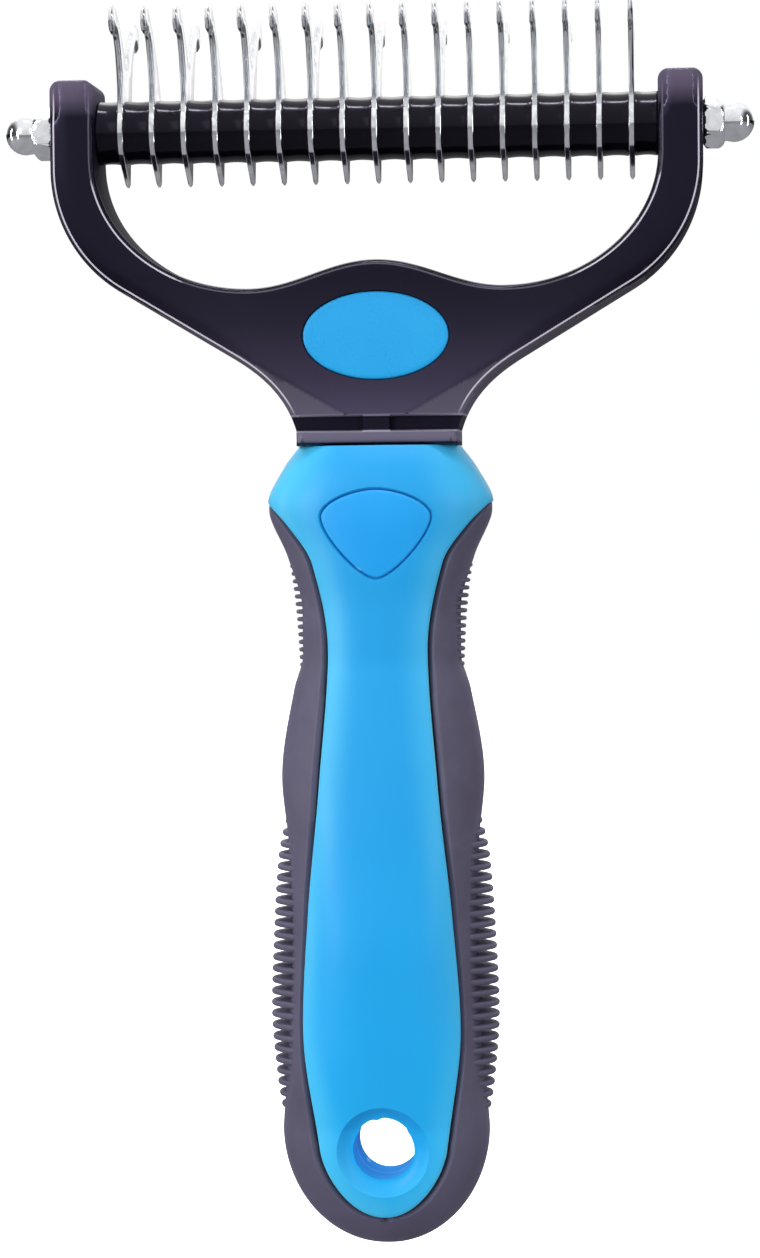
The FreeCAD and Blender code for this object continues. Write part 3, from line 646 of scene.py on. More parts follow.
@dataclass(frozen=True)
class BrightMetal:
    """Polished, ground or plated metal with a directional finish and faint stains."""

    name: str
    colour: str
    stain: str
    roughness: float = 0.12
    line_mm: float = 0.25      # grinding lines, real 0.05 mm, drawn coarser to show
    stretch: tuple[float, float, float] = (1.0, 1.0, 0.05)
    line_depth: float = 0.004

    def build(self) -> bpy.types.Material:
        """Make the material.

        Returns:
            The finished material.
        """
        material, tree, place = open_material(self.name)
        lines = add_node(tree, "ShaderNodeMapping", {"Vector": place, "Scale": self.stretch})
        ground = noise(
            tree, lines.outputs["Vector"], per_mm(self.line_mm), 5.0, roughness=0.7)
        patches = noise(tree, place, per_mm(2.4), 4.0, distortion=0.8)
        return close_material(material, {
            "Base Color": ramp(tree, patches, [(0.28, self.stain), (0.55, self.colour)]),
            "Metallic": 1.0,
            "Roughness": ranged(
                tree, ground, (0.3, 0.7), (self.roughness * 0.6, self.roughness * 1.5)),
            "Normal": bumped(tree, ground, 0.3, self.line_depth)})


@dataclass
class Finishes:
    """All finishes of the comb, each made once."""

    # glossy black ABS: near-black with a violet cast; its tones stand in for reflected light on
    # the collar, the lower web, the ear tops and the groove's edges
    yoke: MouldedPlastic = MouldedPlastic(
        "glossy_black_abs", "#0d0b14", "#08070e", "#3a3342", roughness=0.17, gleam=0.3,
        gleam_tint="#b9b2e6", roughness_spread=0.04, grain_depth=0.003, painted_light_by_height=(
            (108.2, "#02020c"), (108.75, "#02020c"), (108.9, "#6b6679"), (110.3, "#6b6679"),
            (110.42, "#a29cb0"), (110.55, "#000000"), (112.7, "#000000"), (112.84, "#a29cb0"),
            (113.0, "#463f54"), (118.0, "#332e3e"), (127.0, "#16141d"), (134.0, "#020203"),
            (159.0, "#020203"), (162.0, "#564d60"), (165.0, "#625a6c")))
    # satin black acetal: turned-looking spacers, one soft streak of light
    spacer: MouldedPlastic = MouldedPlastic(
        "satin_black_acetal", "#08060c", "#040308", "#2c2930", roughness=0.16, gleam=0.22,
        gleam_tint="#d9d5f2", roughness_spread=0.04, flow_mm=9.0, grain_depth=0.002)
    # azure ABS: clean, saturated, softly glossy; painted light makes it a little lighter towards
    # the butt
    shell: MouldedPlastic = MouldedPlastic(
        "azure_abs", "#18a6ea", "#149fe6", "#b4f2ff",
        painted_light_by_height=((-15.0, "#00556f"), (15.0, "#004e66"), (60.0, "#000000")), roughness=0.42,
        flow_mm=40.0, sheen=0.15, pale="#6ce9ff", roughness_spread=0.04, grain_depth=0.001)
    pad: MouldedPlastic = MouldedPlastic(
        "azure_tpe_pad", "#1aa9f4", "#16a2f2", "#8fe4ff", roughness=0.42, flow_mm=12.0,
        sheen=0.12, roughness_spread=0.05, grain_depth=0.002)
    badge: MouldedPlastic = MouldedPlastic(
        "azure_abs_inlay", "#22abec", "#1ca5ea", "#8fe4ff", roughness=0.3, flow_mm=14.0,
        sheen=0.12, roughness_spread=0.04, grain_depth=0.001)
    # overmoulded TPR: matt grey-violet rubber
    grip: SoftRubber = SoftRubber("overmoulded_tpr", "#57536b", "#4c475e", "#78738b")
    # ground and polished stainless steel: white glints, grinding lines up the blade
    blade: BrightMetal = BrightMetal("polished_stainless", "#f2f3f6", "#cdd0d6", 0.12)
    # bright chrome plate over brass: mirror with crisp dark reflections
    nut: BrightMetal = BrightMetal(
        "chrome_plate", "#f0f1f4", "#d5d8de", 0.05, stretch=(0.1, 1.0, 1.0), line_depth=0.001)
    axle: BrightMetal = BrightMetal(
        "drawn_steel_rod", "#c9ccd1", "#9a9da4", 0.2, stretch=(0.05, 1.0, 1.0))


# ---------------------------------------------------------------- geometry node trees


def geometry_tree(name: str, sizes: Sequence[str]) -> tuple[Any, Any, dict[str, str]]:
    """An empty geometry tree with named size inputs.

    Args:
        name: the tree's name.
        sizes: the names of its number inputs.
    Returns:
        The tree, its group input node, and each input's identifier by name.
    """
    tree = bpy.data.node_groups.new(name, "GeometryNodeTree")
    tree.is_modifier = True
    tree.interface.new_socket("Geometry", in_out="INPUT", socket_type="NodeSocketGeometry")
    identifiers = {}
    for size in sizes:
        socket = tree.interface.new_socket(size, in_out="INPUT", socket_type="NodeSocketFloat")
        identifiers[size] = socket.identifier
    tree.interface.new_socket("Geometry", in_out="OUTPUT", socket_type="NodeSocketGeometry")
    return tree, add_node(tree, "NodeGroupInput"), identifiers


def given_vector(tree: Any, name: str) -> Any:
    """The vector that each point of the input carries under a name."""
    return add_node(tree, "GeometryNodeInputNamedAttribute", {"Name": name},
                    data_type="FLOAT_VECTOR").outputs["Attribute"]


def end_tree(tree: Any, geometry: Any, material: bpy.types.Material) -> None:
    """Close a tree with Realize Instances, Set Material and its output."""
    real = add_node(tree, "GeometryNodeRealizeInstances", {"Geometry": geometry})
    dressed = add_node(tree, "GeometryNodeSetMaterial", {
        "Geometry": real.outputs["Geometry"], "Material": material})
    add_node(tree, "NodeGroupOutput", {"Geometry": dressed.outputs["Geometry"]})


def run_tree(
    name: str, points: np.ndarray, attributes: dict[str, np.ndarray], tree: Any,
    identifiers: dict[str, str], sizes: dict[str, float], material: bpy.types.Material,
) -> bpy.types.Object:
    """Run a tree over a set of points and keep its result as a plain mesh.

    Args:
        name: the new piece's name.
        points: the places, in millimetres.
        attributes: a vector for each place, by attribute name.
        tree: the tree.
        identifiers: its inputs' identifiers.
        sizes: its inputs' values, in metres or radians.
        material: the finish.
    Returns:
        The piece.
    """
    mesh = bpy.data.meshes.new(name + "_places")
    mesh.from_pydata((np.asarray(points) * MM).tolist(), [], [])
    for label, values in attributes.items():
        layer = mesh.attributes.new(label, "FLOAT_VECTOR", "POINT")
        layer.data.foreach_set("vector", np.asarray(values, np.float32).ravel())
    places = add_object(name + "_places", mesh)
    modifier = places.modifiers.new("Build", "NODES")
    modifier.node_group = tree
    for size, value in sizes.items():
        modifier[identifiers[size]] = value
    view = bpy.context.evaluated_depsgraph_get()
    view.update()
    made = bpy.data.meshes.new_from_object(places.evaluated_get(view), depsgraph=view)
    bpy.data.objects.remove(places)
    made.name = name
    made.materials.clear()
    made.materials.append(material)
    made.polygons.foreach_set("material_index", np.zeros(len(made.polygons), np.int32))
    made.shade_smooth()
    made.set_sharp_from_angle(angle=SMOOTH_LIMIT)
    return add_object(name, made)


# ---------------------------------------------------------------- yoke and badges


@dataclass
class Yoke:
    """Glossy black fork: two ears, an arched window, a web with two badge pockets, a neck."""

    finish: bpy.types.Material
    ear_outer: float = 49.9
    ear_top: float = 164.7
    ear_corner: float = 1.7
    dip: tuple[float, float] = (19.6, 132.4)
    crest: float = 136.6
    spring: float = 152.5
    bend_height: float = 151.0
    bend_radius: float = 22.0
    slope: float = 31.0
    throat: float = 21.95
    neck_half_width: float = 12.35
    neck_top: float = 110.5
    foot: float = 108.25
    edge_radius: float = 1.1
    badge_height: float = 125.0
    badge_half_width: float = 11.35
    badge_half_height: float = 6.85
    pocket_depth: float = 1.0
    groove_top: float = 112.8
    groove_depth: float = 1.3
    rib_half_width: float = 2.15
    arm_crown: float = 0.35
    facet_corner: tuple[float, float] = (15.9, 119.6)   # on the line where a facet starts
    facet_lean: tuple[float, float] = (0.488, 0.873)    # across and down, square to that line
    facet_slope: float = 0.24
    facet_start: float = 0.15
    bevel: float = 1.7
    flank_low: float = 157.0
    pocket_floor: float = 0.984    # the pocket's floor as a share of its mouth

    def half_outline(self) -> np.ndarray:
        """The right half of the outline, from the crest round the ear down to the foot."""
        slope = math.radians(self.slope)
        turn = 90.0 - self.slope
        corner = self.ear_corner
        outer, inner, top = self.ear_outer, EAR_INNER, self.ear_top
        bend = arc((outer - self.bend_radius, self.bend_height), self.bend_radius, 0.0, -turn, 40)
        throat_z = bend[-1][1] - (bend[-1][0] - self.throat) * math.tan(slope)
        neck, neck_top = self.neck_half_width, self.neck_top
        pull = 1.1 * math.hypot(self.throat - neck, throat_z - neck_top)
        lean = math.radians(16.0)
        dip_x, dip_z = self.dip
        return chain([
            even_steps(hermite((0.0, self.crest), self.dip, (22.0, 0.0), (22.0, 0.0)), 0.6),
            even_steps(hermite(
                self.dip, (inner, self.spring),
                (1.66 * (inner - dip_x), 0.0), (0.0, 1.66 * (self.spring - dip_z))), 0.6),
            straight((inner, self.spring), (inner, top - corner), 0.6),
            arc((inner + corner, top - corner), corner, 180.0, 90.0, 9),
            straight((inner + corner, top), (outer - corner, top), 0.6),
            arc((outer - corner, top - corner), corner, 90.0, 0.0, 9),
            straight((outer, top - corner), (outer, self.bend_height), 0.6),
            even_steps(bend, 0.6),
            straight(bend[-1], (self.throat, throat_z), 0.6),
            even_steps(hermite(
                (self.throat, throat_z), (neck, neck_top),
                (-math.cos(slope) * pull, -math.sin(slope) * pull),
                (-math.sin(lean) * pull, -math.cos(lean) * pull)), 0.3),
            straight((neck, neck_top), (neck, self.foot), 0.25),
            straight((neck, self.foot), (0.0, self.foot), 0.8),
        ])

    def outline(self) -> np.ndarray:
        """The whole outline as an anticlockwise loop."""
        right = self.half_outline()
        return closed_loop(chain([right, right[::-1] * MIRROR]))

    def by_window(self, x: np.ndarray, z: np.ndarray) -> np.ndarray:
        """Whether points lie on the window's side of the fork."""
        middle = smooth_curve([
            (0.0, 126.0), (15.0, 127.0), (25.0, 130.5), (36.0, 139.0), (EAR_MIDDLE, 153.0)])
        return (z > middle(x)) & (x < EAR_MIDDLE)

    def facet_level(self, x: np.ndarray, z: np.ndarray) -> np.ndarray:
        """How far points lie below the line where the web's slanting facets start."""
        (corner_x, corner_z), (across, down) = self.facet_corner, self.facet_lean
        return (corner_z - z) * down - (corner_x - x) * across

    def kink_points(self) -> np.ndarray:
        """Points along the lines where the faces change their slope."""
        across = np.arange(0.2, 21.0, 0.25)
        (corner_x, corner_z), (lean_x, lean_z) = self.facet_corner, self.facet_lean
        level = (corner_x - across) * lean_x + self.facet_start
        slant = np.stack([across, corner_z - level / lean_z], axis=1)
        slant = slant[slant[:, 1] > self.groove_top + 0.2]
        up = np.arange(self.flank_low, self.ear_top - 1.2, 0.25)
        lines = [slant] + [
            np.stack([np.full(len(up), x), up], axis=1)
            for x in (EAR_INNER + self.bevel, self.ear_outer - self.bevel)]
        right = np.concatenate(lines)
        return np.concatenate([right, right * MIRROR])

    def face_drop(self, flat: np.ndarray, inside: np.ndarray) -> np.ndarray:
        """How far the face lies below its highest level.

        Args:
            flat: points on the face.
            inside: how far each lies inside the outline.
        Returns:
            One depth for each point.
        """
        x, z = np.abs(flat[:, 0]), flat[:, 1]
        arms = smooth_step(x, 15.0, 24.0)
        drop = self.arm_crown * arms * (1.0 - np.clip(inside / 3.4, 0.0, 1.0)) ** 2
        # two slanting facets cut the web's lower corners down to the groove
        facet = np.clip(self.facet_level(x, z) - self.facet_start, 0.0, 6.0) * self.facet_slope
        drop += facet * smooth_step(z, self.groove_top - 0.1, self.groove_top + 0.1)
        side = smooth_step(x, self.rib_half_width - 0.1, self.rib_half_width + 0.1)
        band = smooth_step(z, self.neck_top - 0.1, self.neck_top + 0.1) * (
            1.0 - smooth_step(z, self.groove_top - 0.1, self.groove_top + 0.1))
        drop += self.groove_depth * side * band
        drop += 0.35 * (1.0 - side) * band
        # the ear tops have slanted flanks
        flank = np.clip(self.bevel - np.minimum(x - EAR_INNER, self.ear_outer - x), 0.0, None)
        drop += np.where(x > EAR_INNER - 0.5, flank, 0.0) * 0.45 * smooth_step(
            z, self.flank_low, self.flank_low + 3.5)
        oval = np.hypot(flat[:, 0] / self.badge_half_width,
                        (z - self.badge_height) / self.badge_half_height)
        drop += self.pocket_depth * (1.0 - smooth_step(oval, self.pocket_floor, 1.0))
        return drop

    def build(self) -> bpy.types.Object:
        """Make the yoke.

        Returns:
            The finished piece.
        """
        outline = self.outline()
        insets = np.array([0.0, 0.08, 0.22, 0.40, 0.56, 0.58, 0.80, 0.82, self.edge_radius])
        depths = YOKE_HALF_DEPTH - self.edge_radius + np.sqrt(
            self.edge_radius ** 2 - (self.edge_radius - insets) ** 2)
        rings = [inset_loop(outline, inset) for inset in insets]
        inner = rings[-1]
        angle = np.linspace(0.0, 2.0 * math.pi, 121)[:-1]
        ovals = [
            np.stack([self.badge_half_width * k * np.cos(angle),
                      self.badge_height + self.badge_half_height * k * np.sin(angle)], axis=1)
            for k in (1.0, self.pocket_floor)
        ]

        kinks = self.kink_points()
        kinks = kinks[depth_inside(kinks, inner) > 0.1]

        def well_inside(points: np.ndarray) -> np.ndarray:
            """Whether points keep away from the edge, the kinks and the pocket's rim."""
            clear = depth_inside(points, inner) > 0.25
            clear &= np.linalg.norm(points[:, None, :] - kinks, axis=2).min(axis=1) > 0.3
            for oval in ovals:
                clear &= np.abs(depth_inside(points, oval)) > 0.15
            return clear

        loose = np.concatenate([
            kinks,
            mesh_points((-50.0, 118.0), (50.0, 165.0), 0.9, well_inside),
            mesh_points((-20.0, 113.4), (20.0, 118.0), 0.5, well_inside),
            mesh_points((-14.0, 110.0), (14.0, 113.4), 0.2, well_inside),
            mesh_points((-13.0, 108.3), (13.0, 110.0), 0.6, well_inside),
        ])
        flat, triangles = fill_region(
            [inner] + ovals, loose, lambda centres: depth_inside(centres, inner) > 0.0)
        face_inside = depth_inside(flat, outline)
        drop = self.face_drop(flat, face_inside)
        points, faces = [], []
        for sign in (-1.0, 1.0):
            base = len(points)
            depth = YOKE_HALF_DEPTH - drop
            points += np.stack([flat[:, 0], sign * depth, flat[:, 1]], axis=1).tolist()
            turned = triangles if sign < 0.0 else triangles[:, ::-1]
            faces += (turned + base).tolist()
        stack = []
        for sign in (-1.0, 1.0):
            order = range(len(rings)) if sign > 0.0 else reversed(range(len(rings)))
            for index in order:
                ring = rings[index]
                limit = YOKE_HALF_DEPTH - self.face_drop(ring, depth_inside(ring, outline))
                depth = np.minimum(depths[index], limit)
                stack.append(np.stack([ring[:, 0], sign * depth, ring[:, 1]], axis=1))
        base = len(points)
        points += np.concatenate(stack).tolist()
        faces += shifted(grid_faces(len(stack), len(outline), wrap=True), base)
        piece = new_mesh("yoke_fork", np.array(points), faces, self.finish, closed=True)

        def paleness(places: np.ndarray) -> np.ndarray:
            """Painted highlights: a bright line inside the outer edge, a greyer one inside the
            window's, and faint painted light on the slanting facets.
            """
            x, z = np.abs(places[:, 0]), places[:, 2]
            inset = depth_inside(places[:, [0, 2]], outline)
            line = (inset > 0.57) & (inset < 0.81) & (
                np.abs(places[:, 1]) > YOKE_HALF_DEPTH - self.edge_radius)
            share = np.where(self.by_window(x, z), 0.13, 0.9) * line
            share *= 1.0 - smooth_step(z, 160.0, 164.0)
            share *= smooth_step(z, self.groove_top - 1.0, self.groove_top + 3.0)
            # painted light on the slanting facets
            facet = (self.facet_level(x, z) > self.facet_start + 0.1) & (z > self.groove_top)
            return np.maximum(share, 0.085 * facet)

        def mattness(places: np.ndarray) -> np.ndarray:
            """The side walls are matt, the faces and their rounded edges glossy."""
            return 1.0 - smooth_step(
                np.abs(places[:, 1]), YOKE_HALF_DEPTH - self.edge_radius - 0.01,
                YOKE_HALF_DEPTH - 0.7)

        mark(piece, "paleness", paleness)
        mark(piece, "mattness", mattness)
        return settle(piece, "yoke_plastic", "yoke")


@dataclass
class Badge:
    """Plain azure oval inlaid in the yoke's pocket, with a softly rounded rim."""

    finish: bpy.types.Material
    face: Face
    height: float = 125.0
    half_width: float = 11.2
    half_height: float = 6.7
    recess: float = 0.22
    crown: float = 0.12
    rim: float = 0.35
    thickness: float = 0.9

    def build(self) -> bpy.types.Object:
        """Make the inlay.

        Returns:
            The finished piece.
        """
        angle = np.linspace(0.0, 2.0 * math.pi, 145)[:-1]
        top = YOKE_HALF_DEPTH - self.recess
        insets = [0.0, 0.0, 0.03, 0.1, 0.2, self.rim, 0.8, 1.6, 2.8, 4.2, 5.6]
        levels = [top - self.thickness, top - self.rim]
        levels += [top - self.rim + math.sqrt(max(0.0, self.rim ** 2 - (self.rim - i) ** 2))
                   for i in insets[2:6]]
        levels += [top + self.crown * (i / 6.0) ** 0.7 for i in insets[6:]]
        rows = []
        for inset, level in zip(insets, levels):
            rows.append(np.stack([
                (self.half_width - inset) * np.cos(angle),
                np.full(len(angle), self.face.value * level),
                self.height + (self.half_height - inset) * np.sin(angle)], axis=1))
        faces = grid_faces(len(rows), len(angle), wrap=True)
        last = (len(rows) - 1) * len(angle)
        faces.append(tuple(range(last, last + len(angle))))
        faces.append(tuple(reversed(range(len(angle)))))
        if self.face is Face.REAR:
            faces = flipped(faces)
        name = "badge_" + self.face.name.lower()
        piece = new_mesh(name + "_inlay", np.concatenate(rows), faces, self.finish)
        return settle(piece, "badge_plastic", name)


# ---------------------------------------------------------------- blades, spacers, nuts


@dataclass
class BladePack:
    """Seventeen ground blades and eighteen spool-shaped spacers on the axle."""

    steel: bpy.types.Material
    plastic: bpy.types.Material
    hub_radius: float = 5.5
    nose_radius: float = 2.3
    hook_top: float = 18.3
    hook_reach: float = 13.0
    tail_offset: float = 2.6
    tail_drop: float = 8.2
    grind: float = 0.45
    spacer_rim: float = 4.95
    spacer_waist: float = 4.75

    def hook(self) -> tuple[np.ndarray, np.ndarray]:
        """Inner and outer edge of the front hook, each from the hub up to the crown."""
        nose = self.nose_radius
        centre = (self.hook_reach - nose, self.hook_top - nose)
        root = 0.97 * self.hub_radius
        reach = centre[1] - root
        lip = math.radians(-105.0)
        front = (root * math.cos(math.radians(28.0)), root * math.sin(math.radians(28.0)))
        back = (root * math.cos(math.radians(122.0)), root * math.sin(math.radians(122.0)))
        under = (centre[0] + nose * math.cos(lip), centre[1] + nose * math.sin(lip))
        inner = chain([
            hermite(front, under, (0.5, 1.5 * reach),
                    (-0.9 * reach * math.sin(lip), 0.9 * reach * math.cos(lip)), 20),
            arc(centre, nose, -105.0, 90.0, 18),
        ])
        outer = hermite(
            back, (centre[0], centre[1] + nose), (-0.1 * reach * 1.1, reach * 1.1),
            (reach * 0.9, 0.0), 24)
        return inner, outer

    def outline(self, two_hooks: bool) -> np.ndarray:
        """One blade's outline seen along the axle, its front to the right.

        Args:
            two_hooks: whether it has a rear hook too.
        Returns:
            An anticlockwise loop.
        """
        inner, outer = self.hook()
        hub = self.hub_radius
        tail = [(-self.tail_offset - 0.25, -self.tail_drop),
                (-self.tail_offset + 0.25, -self.tail_drop)]
        if two_hooks:
            half = outer[outer[:, 0] > 0.0][::-1]
            upper = [inner, half, half[::-1] * MIRROR, inner[::-1] * MIRROR]
            leave = 152.0
        else:
            upper = [inner, outer[::-1]]
            leave = 122.0
        loop = chain([
            *upper,
            arc((0.0, 0.0), hub, leave, 236.0, 20),
            np.array(tail),
            arc((0.0, 0.0), hub, 304.0, 388.0, 20),
        ])
        return closed_loop(loop)

    def template(self, two_hooks: bool) -> bpy.types.Object:
        """One blade at the origin, its edges ground to a bevel."""
        outline = self.outline(two_hooks)
        half = 0.5 * BLADE_THICKNESS
        # the hub's rim is square, the hooks and the tail are ground thin
        ground = smooth_step(np.hypot(outline[:, 0], outline[:, 1]), self.hub_radius + 0.3,
                             self.hub_radius + 2.5)
        inner = inset_loop(outline, 0.06 + (self.grind - 0.06) * ground)
        rim = half * (0.85 - 0.55 * ground)
        flat, triangles = fill_region(
            [inner], np.empty((0, 2)), lambda centres: depth_inside(centres, inner) > 0.0)
        points, faces = [], []
        for sign in (-1.0, 1.0):
            base = len(points)
            points += [(sign * half, -u, v) for u, v in flat]
            turned = triangles if sign > 0.0 else triangles[:, ::-1]
            faces += (turned[:, ::-1] + base).tolist()
        even = np.full(len(outline), half)
        base = len(points)
        for level, ring in ((-even, inner), (-rim, outline), (rim, outline), (even, inner)):
            points += [(x, -u, v) for x, (u, v) in zip(level, ring)]
        faces += shifted(grid_faces(4, len(outline), wrap=True), base)
        blade = new_mesh(
            "blade_template_%d" % two_hooks, np.array(points), faces, self.steel, closed=True)
        blade.data.set_sharp_from_angle(angle=math.radians(20.0))
        return blade

    def build_blades(self) -> bpy.types.Object:
        """All blades in one piece, from two templates by a geometry tree."""
        one, two = self.template(False), self.template(True)
        tree, given, identifiers = geometry_tree("blade_row", [])
        both = []
        chosen = add_node(
            tree, "ShaderNodeSeparateXYZ", {"Vector": given_vector(tree, "rear_hook")}).outputs["X"]
        for template, pick in ((one, maths(tree, "SUBTRACT", 1.0, chosen)), (two, chosen)):
            shape = add_node(tree, "GeometryNodeObjectInfo", {"Object": template})
            both.append(add_node(tree, "GeometryNodeInstanceOnPoints", {
                "Points": given.outputs["Geometry"], "Selection": pick,
                "Instance": shape.outputs["Geometry"]}))
        joined = add_node(tree, "GeometryNodeJoinGeometry")
        for node in both:
            tree.links.new(node.outputs["Instances"], joined.inputs["Geometry"])
        end_tree(tree, joined.outputs["Geometry"], self.steel)
        places = [((i - (BLADE_COUNT - 1) / 2) * BLADE_PITCH, 0.0, AXLE_HEIGHT)
                  for i in range(BLADE_COUNT)]
        marks = [(1.0 - i % 2, 0.0, 0.0) for i in range(BLADE_COUNT)]
        piece = run_tree("blades", np.array(places), {"rear_hook": np.array(marks)}, tree,
                         identifiers, {}, self.steel)
        for template in (one, two):
            bpy.data.objects.remove(template)
        return settle(piece, "blade_steel", *["blade_%02d" % (i + 1) for i in range(BLADE_COUNT)])

    def build_spacers(self) -> bpy.types.Object:
        """All spacers in one piece: a waisted tube along the axle, one for each gap."""
        tree, given, identifiers = geometry_tree(
            "spacer_row", ["Length", "Rim radius", "Waist radius", "End rounding"])
        half = maths(tree, "MULTIPLY", given.outputs["Length"], 0.5)
        start = add_node(tree, "ShaderNodeCombineXYZ", {"X": maths(tree, "MULTIPLY", half, -1.0)})
        end = add_node(tree, "ShaderNodeCombineXYZ", {"X": half})
        line = add_node(tree, "GeometryNodeCurvePrimitiveLine", {
            "Start": start.outputs["Vector"], "End": end.outputs["Vector"]})
        stepped = add_node(tree, "GeometryNodeResampleCurve", {
            "Curve": line.outputs["Curve"], "Count": 17})
        along = add_node(tree, "GeometryNodeSplineParameter").outputs["Factor"]
        away = maths(tree, "ABSOLUTE", ranged(tree, along, (0.0, 1.0), (-1.0, 1.0)))
        radius = ranged(
            tree, maths(tree, "POWER", away, 2.0), (0.0, 1.0),
            (given.outputs["Waist radius"], given.outputs["Rim radius"]))
        rounding = ranged(
            tree, away, (0.86, 1.0), (0.0, given.outputs["End rounding"]),
            interpolation_type="SMOOTHSTEP")
        final = maths(tree, "SUBTRACT", radius, rounding)
        waisted = add_node(tree, "GeometryNodeSetCurveRadius", {
            "Curve": stepped.outputs["Curve"], "Radius": final})
        circle = add_node(tree, "GeometryNodeCurvePrimitiveCircle", {
            "Resolution": 48, "Radius": 1.0})
        tube = add_node(tree, "GeometryNodeCurveToMesh", {
            "Curve": waisted.outputs["Curve"], "Profile Curve": circle.outputs["Curve"],
            "Fill Caps": True})
        if "Scale" in tube.inputs:
            tree.links.new(final, tube.inputs["Scale"])
        placed = add_node(tree, "GeometryNodeInstanceOnPoints", {
            "Points": given.outputs["Geometry"], "Instance": tube.outputs["Mesh"],
            "Scale": given_vector(tree, "stretch")})
        end_tree(tree, placed.outputs["Instances"], self.plastic)
        gap = BLADE_PITCH - BLADE_THICKNESS
        last_face = (BLADE_COUNT - 1) / 2 * BLADE_PITCH + 0.5 * BLADE_THICKNESS
        end_length = EAR_INNER - last_face
        end_centre = 0.5 * (EAR_INNER + last_face)
        places = [(-end_centre, 0.0, AXLE_HEIGHT)]
        places += [((i - BLADE_COUNT / 2) * BLADE_PITCH, 0.0, AXLE_HEIGHT)
                   for i in range(1, BLADE_COUNT)]
        places.append((end_centre, 0.0, AXLE_HEIGHT))
        stretch = [(end_length / gap, 1.0, 1.0)] + [(1.0, 1.0, 1.0)] * (BLADE_COUNT - 1)
        stretch.append(stretch[0])
        piece = run_tree(
            "spacers", np.array(places), {"stretch": np.array(stretch)}, tree, identifiers,
            {"Length": gap * MM, "Rim radius": self.spacer_rim * MM,
             "Waist radius": self.spacer_waist * MM, "End rounding": 0.14 * MM}, self.plastic)
        return settle(piece, "spacer_plastic",
                      *["spacer_%02d" % (i + 1) for i in range(BLADE_COUNT + 1)])


@dataclass
class CapNut:
    """Chrome cap nut: chamfered hexagon, waisted collar and rounded cap."""

    finish: bpy.types.Material
    name: str
    side: float
    seat: float = 49.92
    flats: float = 7.0
    hex_height: float = 3.2
    height: float = 7.8
    dome: float = 3.1
    steps: int = 96

    def build(self) -> bpy.types.Object:
        """Make the nut.

        Returns:
            The finished piece.
        """
        angle = np.linspace(0.0, 2.0 * math.pi, self.steps + 1)[:-1]
        sector = (angle + math.pi / 6.0) % (math.pi / 3.0) - math.pi / 6.0
        flat = 0.5 * self.flats / np.cos(sector)
        cap = self.height - self.dome
        hexagon = (
            (0.0, 3.3), (0.3, 3.75), (0.55, 4.2), (2.35, 4.2), (2.75, 3.82), (3.05, 3.5),
            (self.hex_height, 3.3))
        collar = ((self.hex_height + 0.05, 3.0), (3.5, 2.92), (3.9, 2.98), (cap, self.dome))
        turns = np.radians((12.0, 25.0, 38.0, 50.0, 61.0, 71.0, 80.0, 86.0))
        dome = [(cap + self.dome * math.sin(turn), self.dome * math.cos(turn)) for turn in turns]
        rows = [(0.0, np.zeros(self.steps))]
        rows += [(height, np.minimum(flat, limit)) for height, limit in hexagon]
        rows += [(height, np.full(self.steps, radius))
                 for height, radius in (*collar, *dome, (self.height, 0.0))]
        points = [
            (self.side * (self.seat + height), radius * math.cos(a),
             AXLE_HEIGHT + radius * math.sin(a))
            for height, row in rows for radius, a in zip(row, angle)
        ]
        faces = grid_faces(len(rows), self.steps, wrap=True)
        if self.side < 0.0:
            faces = flipped(faces)
        piece = new_mesh(self.name + "_dome", np.array(points), faces, self.finish)
        return settle(piece, "nut_chrome", self.name)


# ---------------------------------------------------------------- handle


